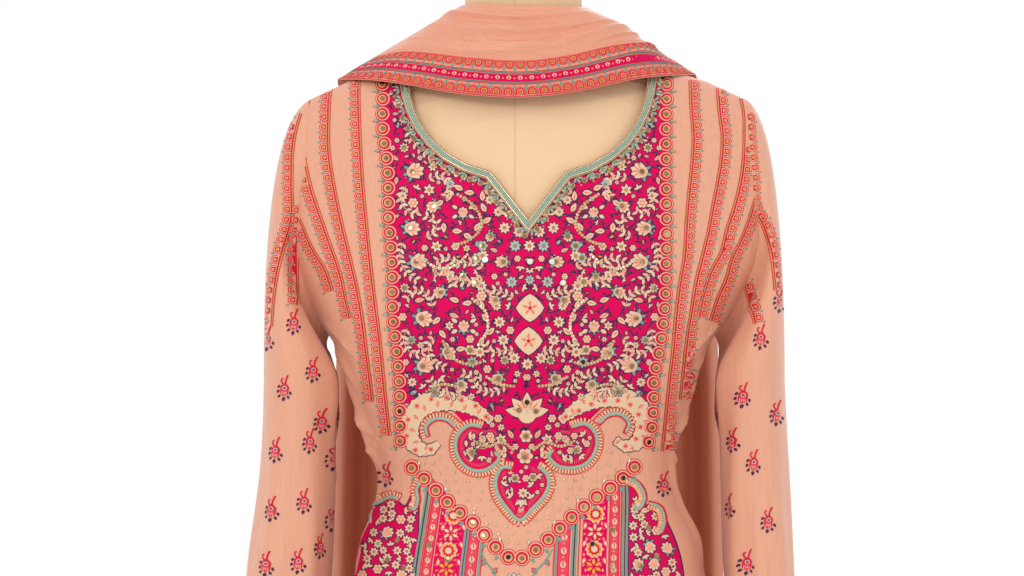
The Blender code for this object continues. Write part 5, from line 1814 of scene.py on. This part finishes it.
def lay_lower_panel():
    """The panel under the V: flowered bands, scroll bands, lines and a plain middle."""
    for x0, x1 in ((434.5, 461), (580, 604.5)):
        band("ground", x0, x1)
        for row, y in enumerate(np.arange(482, 672, 5.2)):
            for x in np.arange(x0 + 2.2 + 2.1 * (row % 2), x1 - 1.6, 4.2):
                if y > v_edge(x) + 4:
                    colour, turn = SPECKS[int(x * 3 + row) % 3]
                    speck = moved(petal(3.8, 1.8, start=-1.9), *lean(x, y), turn)
                    front_ink.draw(colour, speck, 1)
    for x0, x1 in ((423.5, 433.5), (466, 477.5), (556, 568), (606.5, 617)):
        band("rose", x0, x1)
        band("crimson", x0, x0 + 1.0, 1, columns=2)
        band("crimson", x1 - 1.0, x1, 1, columns=2)
    for x in (416.5, 420.0, 462.5, 465.0, 479.5, 554.5, 570.5, 574.0, 620.5, 624.5):
        band("teal", x - 0.9, x + 0.9, 2, columns=2)
    for x in (418.3, 463.8, 572.3, 622.5):
        band("navy", x - 0.5, x + 0.5, 2, columns=2)
    for x in (422.4, 481.5, 552.6, 577.0, 618.6):
        band("crimson", x - 0.5, x + 0.5, 2, columns=2)
    for x, half in ((428.5, 3.6), (471.8, 4.2), (562, 4.4), (611.8, 3.9)):
        y = v_edge(x) + 10
        while y < 660:
            px, py = lean(x, y)
            for k in (-1, 1):
                a = np.linspace(0, 4.2, 9)
                over = px + k * half * 0.62 * np.cos(a) * (1 - a / 7)
                down = py + half * 1.15 * np.sin(a) * (1 - a / 9)
                front_ink.draw("cream", stroke(np.stack([over, down], -1), 1.5, 0.5), 2)
            front_ink.draw("amber", moved(disc(1.1, 8), px, py - half * 1.4), 3)
            y += half * 3.1
    for x in (447.8, 592.2):
        y, turn = v_edge(x) + 14, 0
        while y < 664:
            px, py = lean(x, y)
            if turn % 2:
                for a in (-150, -90, -30, 30, 90, 150):
                    leaf(front_ink, *turned_point(px, py, a, 2.0), a, 6.5, 2.8, "cream"
                        if turn % 4 == 1 else "amber", "crimson")
            else:
                front_ink.draw("cream", moved(rosette(9.0, 10, 0.22, 5), px, py), 2)
                front_ink.draw("amber", moved(rosette(7.8, 10, 0.25, 5), px, py), 3)
                front_ink.draw("crimson", moved(rosette(6.0, 10, 0.3, 5), px, py), 4)
                front_ink.draw("cream", moved(disc(3.3, 12), px, py), 5)
            for k in (-1, 1):
                leaf(front_ink, px + k * 9.5, py + 9, 90 - k * 20, 6, 2.6, "cream", "rose")
            y += 17.5
            turn += 1
    for side in (-1, 1):
        vine = [(V_TIP_X + side * x, y) for x, y in PANEL_VINE]
        front_ink.draw("teal", stroke(line([lean(*p) for p in vine], 2.5), 2.0, 0.5), 3)
        for x, y, a in ((30, 560, 60), (21, 573, 230), (12, 592, 60), (6, 607, 250)):
            leaf(front_ink, *lean(V_TIP_X + side * x, y), a, 6, 2.8, "teal", "crimson", flip=side)
    px, py = lean(V_TIP_X, 584)
    for a in (-120, -90, -60):
        leaf(front_ink, px, py, a, 11, 5, "cream", "teal", "coral")


SIDE_LAYERS = 16


def lay_side_pieces():
    """The flowered side pieces of the lower panel."""
    random = np.random.default_rng(11)
    for outline in SIDE_PIECES:
        edge = line(list(outline) + [outline[0]], 3.0)
        middle = edge.mean(0)
        shares = 1 - np.arange(SIDE_LAYERS + 1) / SIDE_LAYERS
        rings = np.concatenate([middle + (edge - middle) * share for share in shares])
        front_ink.draw("ground", (rings, grid_faces(len(shares), len(edge), False)), 0)
        front_ink.draw("navy", stroke(edge, 1.6), 1)
        taken = []
        for attempt in range(3600):
            x, y = random.uniform(edge[:, 0].min(), edge[:, 0].max()), random.uniform(482, 668)
            size = random.choice([9.0, 6.5, 4.5] if attempt < 1400 else [4.0, 2.9])
            gap = np.hypot(edge[:, 0] - x, edge[:, 1] - y).min()
            if gap < size + 0.5 or not inside(edge, x, y):
                continue
            if any((x - a) ** 2 + (y - b) ** 2 < (0.9 * (r + size)) ** 2 for a, b, r in taken):
                continue
            taken.append((x, y, size))
            turn = random.uniform(0, 360)
            if size > 8:
                blossom(front_ink, x, y, 7.6, turn)
            elif size > 6:
                ring_flower(front_ink, x, y, 4.8, heart="coral")
            elif size > 3.5:
                daisy(front_ink, x, y, size + 0.3, 7, turn=turn)
            else:
                for a in (-60, 0, 60):
                    leaf(front_ink, x, y, turn + a, 4.6, 2.2)


def lay_stripes():
    """The stripes beside the yoke, and two sprigs under them."""
    for points, outward in BODY_STRIPES:
        stripe(front_ink, points, STRIPE_PITCH, STRIPE_R, outward)
    for x, y in BODY_SPRIGS:
        sprig(front_ink, x, y, -90, SPRIG_SIZE)


# Mirrors, sequins and beads


MIRRORED_RINGS = ((52, 258), (54, 282), (60, 350), (46, 246))
LOW_MIRRORS = (
    (526, 436), (525, 457), (515, 478), (533, 477), (519, 410), (536, 411), (527, 402), (472, 452),
    (576, 450), (398, 540), (388, 560), (404, 568), (648, 528), (656, 556), (640, 566),
)
# Four mirrors in the bright silver finish: a painted bright reflection
PAINTED_BRIGHT_MIRRORS = ((485.5, 260), (530, 262), (552, 262), (563, 283))


def lay_shine():
    """Mirrors, sequins and beads of the front."""
    mirrors = []
    for points in (LEFT_BORDER, RIGHT_BORDER):
        mirrors += spaced(points, BORDER_PITCH)[0][1:].tolist()
    for points in (LEFT_V, RIGHT_V):
        mirrors += spaced(points, V_PITCH)[0].tolist()
    for side in (-1, 1):
        for dx, y, *rest in BLOSSOMS + DAISIES[15::2] + MIRRORED_RINGS:
            mirrors.append(on_yoke(side * dx, y))
        for x, y in ((447.8, 560), (592.2, 544), (430, 545), (612, 530)):
            mirrors.append([x, y] if side > 0 else [x, y + 36])
    mirrors += LOW_MIRRORS
    rims = np.array(mirrors)
    front_trims.plates("gold", rims, 0.00265, 0.0009, 12)
    # One mirror in nine below row 330 gets the near-black finish: a painted dark reflection
    order = np.arange(len(rims)) % 9
    smoked = (order == 4) & (rims[:, 1] > 330)
    front_trims.plates("mirror", rims[~smoked], 0.00225, 0.0014, 12, 0.0002, 0.05, 3)
    front_trims.plates("smoked", rims[smoked], 0.00225, 0.0014, 12, 0.0002, 0.05, 4)
    # Four of the mirrors get the bright silver finish, a painted bright reflection
    front_trims.plates("silver", PAINTED_BRIGHT_MIRRORS, 0.0026, 0.0015, 12, 0.0002, 0.02, 5)
    for side in (-1, 1):
        for arc in SEQUIN_ARCS:
            spots, ways = spaced([yoke(side * dx, y) for dx, y in arc], 3.3)
            finish = "sequin" if arc[0][1] in (298, 254) else "gold"
            front_trims.plates(finish, spots, 0.00150, 0.0012, 8, 0.0004, 0.25, 8)
            front_trims.beads("gold", spots, 0.0006, 0.0019)
    random = np.random.default_rng(5)
    scattered = []
    while len(scattered) < 74:
        x, y = random.uniform(408, 640), random.uniform(446, 556)
        low = v_edge(x) - 12
        on_lobe = any(
            inside(np.array(edge, float), x, y) or math.hypot(x - middle[0], y - middle[1]) < 30
            for middle, edge in LOBES
        )
        near_curl = y < 452 and (x < 448 or x > 600)
        clear = all(math.hypot(x - a, y - b) > 9 for a, b in scattered)
        if y < low and not on_lobe and not near_curl and clear:
            scattered.append((x, y))
    front_trims.plates("gold", scattered, 0.0013, 0.0006, 8, 0.0003, 0.15, 9)
    front_trims.beads("silver", scattered[::3], 0.0007, 0.0012)
    beads, turns = [], []
    for points, outward in ((LEFT_BORDER, -1), (RIGHT_BORDER, 1)):
        for x, y in spaced(points, BORDER_PITCH)[0]:
            beads.append((x + outward * 6.4, y + BORDER_PITCH / 2))
            turns.append(0)
    front_trims.beads("mint", beads, 0.0011, 0.0010, 1.9, turns)
    outside = [(x + (3.0 if x > 500 else -3.0), y) for x, y in beads]
    front_trims.beads("gold", outside, 0.0009, 0.0010)
    for points in (LEFT_V, RIGHT_V):
        spots = [(x, y - 11.5) for x, y in spaced(points, 2 * V_PITCH)[0]]
        front_trims.beads("silver", spots, 0.0011, 0.0010, 1.8, [90] * len(spots))
    dots = []
    for side in (-1, 1):
        for dx, y, r, turn in BLOSSOMS:
            x, v = on_yoke(side * dx, y)
            dots += [turned_point(x, v, a, r * 0.82) for a in (20, 140, 260)]
    front_trims.beads("silver", dots, 0.00055, 0.0008)


# The neck's corded edging


def to_pixel(point):
    """Where a point shows in the front view."""
    near = EYE_DISTANCE / (point[..., 1] - EYE[1])
    x = EYE[0] + (point[..., 0] - EYE[0]) * near
    z = EYE[2] + (point[..., 2] - EYE[2]) * near
    return np.stack([x / PIXEL + MIDDLE_COLUMN, (TOP_Z - z) / PIXEL], -1)


def neck_edge(across, rise):
    """Points along the edging, at a share of its width from the neck, raised."""
    rows_s, rows_z = panel_rows(-1)
    middle = rows_s.shape[1] // 2
    reach = NOTCH_STEPS + SCOOP_STEPS - 1
    keep = slice(middle - reach, middle + reach + 1)
    s = upsample(rows_s[:2, keep], [1], 10)
    z = upsample(rows_z[:2, keep], [1], 10)
    s, z = mix(s[0], s[1], across), mix(z[0], z[1], across)
    return panel(s, z, -1) + rise * panel_normals(s, z, -1)


def along_path(points, pitch):
    """Points a pitch apart along a line in space."""
    length = lengths(points)
    at = (np.arange(int(length[-1] / pitch)) + 0.5) * pitch
    return np.stack([np.interp(at, length, points[:, i]) for i in range(3)], -1)


def tube(path, radius, sides=8, twist=0.0):
    """A round thread along a line, with a twist."""
    along = np.gradient(path, axis=0)
    along = unit(along)
    side = np.cross(along, (0, 1.0, 0))
    side = unit(side)
    lift = np.cross(side, along)
    a = np.linspace(0, 2 * np.pi, sides, endpoint=False)
    phase = np.arange(len(path))[:, None] * twist + a[None]
    r = radius * (1 + (0.16 * np.sin(phase * 2) if twist else 0 * phase))
    ring = np.cos(a)[None, :, None] * side[:, None] + np.sin(a)[None, :, None] * lift[:, None]
    grid = path[:, None] + r[..., None] * ring
    n = len(path)
    faces = quads(n, sides, closed=True)
    faces += [tuple(range(sides))[::-1], tuple(range((n - 1) * sides, n * sides))]
    return grid.reshape(-1, 3), faces


# The edging's ribbon as share of its width and height, its cords as share, radius and
# finish, and its rows of balls as share, radius, pitch and finish
RIBBON = (
    (0.0, 0.0003), (0.0, 0.0013), (0.25, 0.0017), (0.5, 0.0018), (0.75, 0.0017), (1.0, 0.0013),
    (1.0, 0.0003),
)
EDGING_CORDS = (
    (0.40, 0.00075, "mint"), (0.60, 0.00075, "mint"), (0.20, 0.00055, "sequin"),
    (0.80, 0.00055, "sequin"),
)
EDGING_BALLS = (
    (0.05, 0.00075, 0.0021, "gold"),
    (0.95, 0.00075, 0.0021, "gold"),
    (0.50, 0.00055, 0.0022, "silver"),
    (0.70, 0.00045, 0.0020, "silver"),
    (0.30, 0.00045, 0.0020, "silver"),
)
TREFOIL_TURNS = (-48, 0, 48)


def nearest_on_edge(fine, base, x, y):
    """The edging's outer point nearest to a place, and the direction outwards there."""
    k = np.hypot(fine[:, 0] - x, fine[:, 1] - y).argmin()
    return fine[k], math.degrees(math.atan2(fine[k, 1] - base[k, 1], fine[k, 0] - base[k, 0]))


def lay_neck_edging():
    """The ribbon, cords and beads of the neck's edging, with trefoils and mirrors below."""
    trims = Trims("neck_edging", front.from_view)
    low = np.array([neck_edge(t, h) for t, h in RIBBON])
    m, n = low.shape[:2]
    faces = quads(m, n)
    faces += [(c, c + n * (m - 1), c + 1 + n * (m - 1), c + 1) for c in range(n - 1)]
    faces += [tuple(r * n for r in range(m)), tuple(r * n + n - 1 for r in range(m))[::-1]]
    points, look = low.reshape(-1, 3), TRIM_FINISHES["edging"]
    ribbon = add_piece("neck_edging_ribbon", points, faces, look, "mint_cord")
    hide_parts("neck_edging")
    for t, radius, finish in EDGING_CORDS:
        path = along_path(neck_edge(t, 0.0022), 0.0011)
        trims.put(finish, *tube(path, radius, 8, 1.1))
    for t, radius, pitch, finish in EDGING_BALLS:
        spots = along_path(neck_edge(t, 0.0019), pitch)
        trims.balls(finish, spots, radius)
    outer = to_pixel(along_path(neck_edge(1.0, 0.001), 0.0128))
    fine = to_pixel(neck_edge(1.0, 0.001))
    base = to_pixel(neck_edge(0.0, 0.001))
    for i, (x, y) in enumerate(outer):
        way = nearest_on_edge(fine, base, x, y)[1]
        turns = [way + a for a in TREFOIL_TURNS]
        spots = [turned_point(x, y, way + a * 0.9, 4.2 if a else 5.0) for a in TREFOIL_TURNS]
        tips = [turned_point(x, y, way + a * 0.9, 8.4 if a else 9.8) for a in TREFOIL_TURNS]
        front_trims.beads("mint", spots, 0.00120, 0.0011, 2.1, turns)
        front_trims.beads("gold", tips + [turned_point(x, y, way, 1.8)], 0.00085, 0.0010)
        if i < len(outer) - 1:
            foot, way = nearest_on_edge(fine, base, *(outer[i] + outer[i + 1]) / 2)
            spot = turned_point(*foot, way, 6.0)
            front_trims.plates("gold", [spot], 0.0026, 0.0009, 10)
            front_trims.plates("mirror", [spot], 0.0021, 0.0014, 10, 0.0002, 0.05, i)
    trims.finish()


# Sleeves


SLEEVE_STRIPES = {
    -1: (
        (((296, 112), (291, 130), (288, 150), (287, 178), (286, 221), (278, 249), (269, 297),
            (267, 326)), 1),
        (((296, 205), (295, 221), (292, 242), (292, 274), (292, 305)), 1),
    ),
    1: (
        (((750, 112), (753, 150), (756, 180), (758, 207), (766, 221), (774, 243), (778, 270),
            (780, 290)), -1),
        (((738, 250), (740, 257), (745, 270), (750, 287), (756, 305), (760, 323)), -1),
    ),
}
SLEEVE_SPRIGS = {
    -1: (
        (285, 388), (277, 450), (310, 441), (332, 458), (274, 509), (304, 501), (332, 519),
        (269, 564), (298, 561), (319, 546), (313, 370), (321, 421), (294, 322), (268, 338),
    ),
    1: (
        (777, 413), (754, 462), (733, 506), (768, 520), (748, 562), (744, 395), (761, 337),
        (780, 300), (736, 440),
    ),
}


def sleeve_lay(side):
    """Points by degrees round the sleeve and height, for what the front view hides."""
    cloth = sleeves[side]
    rows, columns = cloth.shape
    heights = cloth.plain.reshape(rows, columns, 3)[:, :, 2]
    points = cloth.points.reshape(rows, columns, 3)
    normals = cloth.normals.reshape(rows, columns, 3)

    def lay(spots, raised):
        spots = np.asarray(spots, float)
        c = (spots[:, 0] / 360 * columns) % columns
        i, u = c.astype(int) % columns, (c % 1)[:, None]
        j = (i + 1) % columns
        r = np.array([np.interp(-z, -heights[:, k], np.arange(rows))
            for (a, z), k in zip(spots, i)])
        r0 = np.minimum(r.astype(int), rows - 2)
        v = (r - r0)[:, None]
        found = (spots[:, 1] > CUFF_Z + 0.001) & (spots[:, 1] < 1.36)
        return (*raise_from(points, normals, r0, i, j, u, v, raised), found)

    return lay


def lay_sleeves():
    """The sleeves' stripes and sprigs, and even rows of sprigs on their far sides."""
    for side, name in ((-1, "left"), (1, "right")):
        ink = Ink(f"sleeve_{name}_print", sleeves[side].from_view, "peach_silk", 0.012)
        for points, outward in SLEEVE_STRIPES[side]:
            stripe(ink, points, STRIPE_PITCH, STRIPE_R, outward)
        for x, y in SLEEVE_SPRIGS[side]:
            sprig(ink, x, y, -90, SPRIG_SIZE)
        ink.finish()
        hidden = Ink(f"sleeve_{name}_far_print", unrolled(side), "peach_silk", 0.012)
        for row, y in enumerate(range(-160, 560, 60)):
            for x in range(-196, -63, 44):
                sprig(hidden, x + 22 * (row % 2), y, -90, SPRIG_SIZE)
        hidden.finish()


SLEEVE_ROUND_MM = 370


def unrolled(side):
    """The sleeve's far side unrolled flat: x is steps of 0.9 mm round, y down."""
    lay = sleeve_lay(side)

    def flat(spots, raised):
        spots = np.asarray(spots, float)
        degrees = spots[:, 0] * 0.9 / SLEEVE_ROUND_MM * 360
        z = 1.0 - (spots[:, 1] - 250) * PIXEL
        place, normal, found = lay(np.stack([degrees, z], -1), raised)
        return place, normal, found & (z < 1.33) & (degrees < -5)

    return flat


# Scarf


def scarf_lay(cloth):
    """Points by steps of 0.9 mm along the lower edge, from its middle, and up from it."""
    rows, columns = cloth.shape
    points = cloth.points.reshape(rows, columns, 3)
    normals = cloth.normals.reshape(rows, columns, 3)
    across = np.linalg.norm(np.diff(points, axis=0), axis=2).sum(0)
    edge = points[4]
    length = lengths(edge)
    length -= length[-1] / 2

    def lay(spots, raised):
        spots = np.asarray(spots, float) * PIXEL
        c = np.interp(spots[:, 0], length, np.arange(columns))
        r = spots[:, 1] / np.interp(c, np.arange(columns), across) * (rows - 1)
        found = (np.abs(spots[:, 0]) <= length[-1]) & (r >= 0) & (r <= rows - 1)
        return (*grid_pick(points, normals, r, c, raised), found)

    return lay


def grid_pick(points, normals, r, c, raised):
    """Points at whole and part rows and columns of a grid, raised from the cloth."""
    rows, columns = points.shape[:2]
    r0 = np.clip(r.astype(int), 0, rows - 2)
    c0 = np.clip(c.astype(int), 0, columns - 2)
    v, u = (r - r0)[:, None], (c - c0)[:, None]
    return raise_from(points, normals, r0, c0, c0 + 1, u, v, raised)


def raise_from(points, normals, r, c, next_c, u, v, raised):
    """Points between a grid's rows r and columns c and next_c, raised from the cloth."""

    def pick(g):
        low = g[r, c] * (1 - u) + g[r, next_c] * u
        high = g[r + 1, c] * (1 - u) + g[r + 1, next_c] * u
        return low * (1 - v) + high * v

    normal = unit(pick(normals), 1e-9)
    return pick(points) + normal * np.reshape(raised, (-1, 1)), normal


def fall_lay(cloth):
    """Points by steps of 0.9 mm down the outer edge and in from it."""
    rows, columns = cloth.shape
    points = cloth.points.reshape(rows, columns, 3)[:, ::-1]
    normals = cloth.normals.reshape(rows, columns, 3)[:, ::-1]
    length = lengths(points[:, 0])
    reach = np.array([lengths(row) for row in points])

    def lay(spots, raised):
        spots = np.asarray(spots, float) * PIXEL
        r = np.interp(spots[:, 0], length, np.arange(rows))
        i = np.clip(np.round(r).astype(int), 0, rows - 1)
        c = np.array([np.interp(d, reach[k], np.arange(columns)) for d, k in zip(spots[:, 1], i)])
        found = (spots[:, 0] >= 0) & (spots[:, 0] <= length[-1]) & (spots[:, 1] >= 0)
        return (*grid_pick(points, normals, r, c, raised), found)

    return lay


# The scarf's border, by steps of 0.9 mm up from its edge: lines as colour, place, width
# and level; rings of a bump as size, colour and level
SCARF_MIDDLE = 21.5
SCARF_LINES = (
    ("crimson", 1.2, 0.9, 2),
    ("pink", 2.6, 0.9, 2),
    ("crimson", 14.6, 0.8, 2),
    ("teal", 16.2, 1.5, 2),
    ("navy", 16.2, 0.5, 3),
    ("ground", SCARF_MIDDLE, 8.2, 1),
    ("crimson", 17.8, 0.9, 2),
    ("crimson", 25.4, 0.9, 2),
    ("teal", 27.2, 1.5, 2),
    ("navy", 27.2, 0.5, 3),
    ("crimson", 28.8, 0.8, 2),
    ("pink", 45.5, 0.8, 2),
)
SCARF_BUMP = (
    (5.7, "crimson", 3), (5.0, "pink", 4), (4.6, "crimson", 5), (2.9, "amber", 6),
    (2.0, "crimson", 7),
)


def scarf_border(ink, x0, x1, pitch=11.7):
    """The scarf's border: two rows of bumps, lines and a scrolled band, by steps of
    0.9 mm along the edge and up from it."""
    xs = np.arange(x0, x1 + 0.1, 3.0)
    for colour, y, width, level in SCARF_LINES:
        ink.draw(colour, stroke(np.stack([xs, 0 * xs + y], -1), width), level)
    count = int((x1 - x0) / pitch)
    for i in range(count):
        x = x0 + (i + 0.5) * (x1 - x0) / count
        for y, turn in ((6.6, 90), (37.4, -90)):
            k = 1 if turn > 0 else -1
            for size, colour, level in SCARF_BUMP:
                ink.draw(colour, moved(arch(size, size * 0.75), x, y, turn), level)
            ink.draw("teal", moved(disc(1.1, 8), x, y), 8)
            ink.draw("teal",
                moved(petal(5.4, 3.0, start=-2.7), x + (x1 - x0) / count / 2, y + k * 5.0, 90), 5)
        for k in (-1, 1):
            a = np.linspace(0, 4.4, 8)
            over = x + k * 2.4 * np.cos(a) * (1 - a / 8)
            up = SCARF_MIDDLE + 2.8 * np.sin(a) * (1 - a / 9)
            ink.draw("cream", stroke(np.stack([over, up], -1), 1.1, 0.5), 3)
        ink.draw("amber", moved(disc(1.0, 8), x + (x1 - x0) / count / 2, SCARF_MIDDLE), 3)


def lay_scarf():
    """The scarf's border across the front and down both ends."""
    ink = Ink("dupatta_front_border", scarf_lay(scarf), "peach_silk_scarf", 0.012)
    scarf_border(ink, -222, 222)
    ink.finish()
    for side, name in ((-1, "left"), (1, "right")):
        ink = Ink(f"dupatta_fall_{name}_border", fall_lay(falls[side]), "peach_silk_scarf", 0.014)
        scarf_border(ink, 4, 1010)
        ink.finish()


# Trousers, form and stand


def fine_leg(side):
    """A trouser leg as fine cloth, gathered at its waist and ankle."""
    share = np.linspace(0, 1, 91)[None]
    z = np.append(np.arange(LEG_TOP_Z, LEG_LOW_Z, -0.0075), LEG_LOW_Z)[:, None]
    plain = leg_points(side, share, z)
    free = smooth((0.74 - z) / 0.12) * smooth((z - ANKLE_Z) / 0.06)
    lift = ridges(LEG_FOLDS, share, z) * free
    gathers = 0.0016 * np.sin(2 * np.pi * 26 * share) * smooth((0.26 - z) / 0.12)
    gathers = gathers * smooth((z - ANKLE_Z) / 0.02)
    gathers = gathers + 0.0009 * np.sin(2 * np.pi * 24 * share) * smooth((z - 0.93) / 0.08)
    normal = grid_normals(plain, outward=-side)
    return Cloth(plain, plain + (lift + gathers)[..., None] * normal, -side)


def lay_trousers():
    """The trousers' legs and ribbed cuffs."""
    for side, name in ((-1, "left"), (1, "right")):
        replace_node(f"salwar_leg_{name}", fine_leg(side), "peach_plain", "peach_silk")
        z = np.linspace(ANKLE_Z - SEAM_GAP, CUFF_LOW_Z, 9)[:, None]
        points = leg_points(side, np.linspace(0, 1, 91)[None], z)
        normal = grid_normals(points, outward=-side)
        rib = 0.0005 * np.sin(np.linspace(0, 4 * np.pi, 9))[:, None, None]
        cuff = Cloth(points, points + rib * normal, -side)
        replace_node(f"salwar_cuff_{name}", cuff, "peach_plain", "peach_silk", CUFF_WALL)


def lay_waistband():
    """The trousers' gathered waistband."""
    columns = 120
    points, normal = waistband_grid(columns)
    rows = 9
    t = np.linspace(0, 1, rows)[:, None, None]
    points = points[0] + (points[1] - points[0]) * t
    around = np.linspace(0, 2 * np.pi, columns, endpoint=False)[None]
    gather = 0.0006 * np.sin(60 * around) * np.sin(np.pi * t[:, :, 0])
    cloth = Cloth(points, points + gather[..., None] * normal[0], -1, closed=True)
    replace_node("salwar_waistband", cloth, "peach_plain", "peach_silk")


SEAM_COLUMNS = (514.4, 514.8, 515.2, 515.6)
SEAM_COLOUR = (0.73, 0.485, 0.285)


def lay_seam():
    """The jersey's sewn middle seam down the form's front."""
    form = frame["nodes"]["form_body"].data
    places = [tuple(v.co) for v in form.vertices]
    tree = BVHTree.FromPolygons(places, [tuple(f.vertices) for f in form.polygons])
    rows = []
    for py in np.arange(-60, 330, 2.0):
        row = []
        for px in SEAM_COLUMNS:
            place, normal = tree.ray_cast(EYE, Vector(at_pixel(px, py)) - EYE)[:2]
            if place is None:
                break
            rise = 0.0004 if px in SEAM_COLUMNS[1:3] else 0.0001
            row.append(place + normal * rise)
        if len(row) == len(SEAM_COLUMNS):
            rows.append(row)
    points = [tuple(q) for row in rows for q in row]
    faces = [f[::-1] for f in quads(len(rows), len(SEAM_COLUMNS))]
    add_piece("form_seam", points, faces, jersey("seam_jersey", SEAM_COLOUR), "linen_jersey")


# Make everything


replace_node("kameez_front", front, "peach", "peach_silk_printed")
replace_node("kameez_back", back, "peach", "peach_silk")
replace_node("dupatta_front", scarf, "peach_scarf", "peach_silk_scarf", SCARF_WALL)
for side, name in ((-1, "left"), (1, "right")):
    replace_node(f"sleeve_{name}", sleeves[side], "peach", "peach_silk")
    # The falls take the darker copy of the scarf silk, which is painted shade
    replace_node(f"dupatta_fall_{name}", falls[side], "peach_fall_painted_shade", "peach_silk_scarf", SCARF_WALL)
lay_trousers()
lay_waistband()

plain_nodes = {
    "form_body": jersey("form_jersey", (0.80, 0.545, 0.325)),
    "stand_pole": brushed("pole_steel", (0.56, 0.56, 0.57), (900, 900, 12)),
    "stand_socket": brushed("socket_steel", (0.50, 0.50, 0.51), (40, 40, 900)),
    "stand_base": brushed("base_steel", (0.55, 0.55, 0.56), (60, 60, 900)),
}
for node, finish in plain_nodes.items():
    for place in frame["nodes"][node].material_slots:
        place.material = finish
lay_seam()

lay_ground()
lay_borders()
for side in (-1, 1):
    lay_half(side)
lay_twigs()
fill_gaps()
medallion(308, 14)
medallion(341, 14)
lay_cartouche()
lay_lower_panel()
lay_side_pieces()
lay_stripes()
front_ink.finish()
lay_shine()
lay_neck_edging()
front_trims.finish()
lay_sleeves()
lay_scarf()

# The cut of each cloth piece: flat width and length, flat area, how it is held, what
# holds it and the prints and trims on it
KAMEEZ = ("kameez_front_cloth", "kameez_back_cloth")
SHEETS = {
    "kameez_front": ((0.58, 0.98), 0.475, "draped", ("form_body",),
        ("kameez_print", "kameez_trim", "neck_edging")),
    "kameez_back": ((0.58, 0.98), 0.472, "draped", ("form_body",), ()),
    "sleeve_left": ((0.38, 0.57), 0.152, "hung", KAMEEZ, ("sleeve_left_",)),
    "sleeve_right": ((0.37, 0.55), 0.147, "hung", KAMEEZ, ("sleeve_right_",)),
    "dupatta_front": ((0.085, 0.45), 0.031, "draped", ("kameez_front_cloth",), ("dupatta_front_",)),
    "dupatta_fall_left": ((0.205, 0.94), None, "folded", ("kameez_back_cloth",),
        ("dupatta_fall_left_",)),
    "dupatta_fall_right": ((0.205, 0.94), None, "folded", ("kameez_back_cloth",),
        ("dupatta_fall_right_",)),
    "salwar_leg_left": ((0.64, 0.86), 0.445, "gathered", ("salwar_waistband_cloth",), ()),
    "salwar_leg_right": ((0.62, 0.86), 0.430, "gathered", ("salwar_waistband_cloth",), ()),
    "salwar_cuff_left": ((0.41, 0.04), None, "hung", ("salwar_leg_left_cloth",), ()),
    "salwar_cuff_right": ((0.41, 0.04), None, "hung", ("salwar_leg_right_cloth",), ()),
    "salwar_waistband": ((0.80, 0.035), None, "gathered", ("form_body",), ()),
}
for node, (flat, area, held, under, marks) in SHEETS.items():
    on_it = [o for o in bpy.data.objects if o.type == "MESH" and "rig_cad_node" not in o]
    on_it = [o for o in on_it if o.name.startswith(marks) and not o.name.endswith("_cloth")]


# Camera, light and floor

camera = bpy.data.cameras.new("camera")
camera.lens = camera.sensor_width * EYE_DISTANCE / PICTURE_WIDTH
camera_object = bpy.data.objects.new("camera", camera)
camera_object.location = EYE
camera_object.rotation_euler = (math.pi / 2, 0, 0)
bpy.context.scene.collection.objects.link(camera_object)
bpy.context.scene.camera = camera_object


def add_light(name, place, target, size, power):
    """A round soft light that faces its target."""
    lamp = bpy.data.lights.new(name, "AREA")
    lamp.shape, lamp.size, lamp.energy = "DISK", size, power
    obj = bpy.data.objects.new(name, lamp)
    obj.location = place
    obj.rotation_euler = (Vector(target) - Vector(place)).to_track_quat("-Z", "Y").to_euler()
    bpy.context.scene.collection.objects.link(obj)


add_light("key", (-1.6, -3.2, 2.9), (0, 0, 1.2), 1.2, 30)
add_light("fill", (2.2, -2.6, 1.6), (0, 0, 1.1), 1.6, 8)
add_light("back", (0.6, 3.0, 2.4), (0, 0, 1.1), 1.6, 16)

world = bpy.data.worlds.new("studio")
world.use_nodes = True
world.node_tree.nodes["Background"].inputs["Color"].default_value = (1, 1, 1, 1)
world.node_tree.nodes["Background"].inputs["Strength"].default_value = 1.0
bpy.context.scene.world = world
bpy.context.scene.view_settings.view_transform = "Standard"

FLOOR_SIDES, FLOOR_R = 64, 2.6
floor_mesh = bpy.data.meshes.new("floor")
turn = np.linspace(0, 2 * np.pi, FLOOR_SIDES, endpoint=False)
rim = [(FLOOR_R * math.cos(a), FLOOR_R * math.sin(a), -0.0005) for a in turn]
floor_mesh.from_pydata(rim, [], [tuple(range(FLOOR_SIDES))])
floor = bpy.data.objects.new("floor", floor_mesh)
floor_mesh.materials.append(plain_finish("pale_floor", (0.78, 0.77, 0.75), 0.7, variation=0.02,
    scale=(3, 3, 3)))
bpy.context.scene.collection.objects.link(floor)
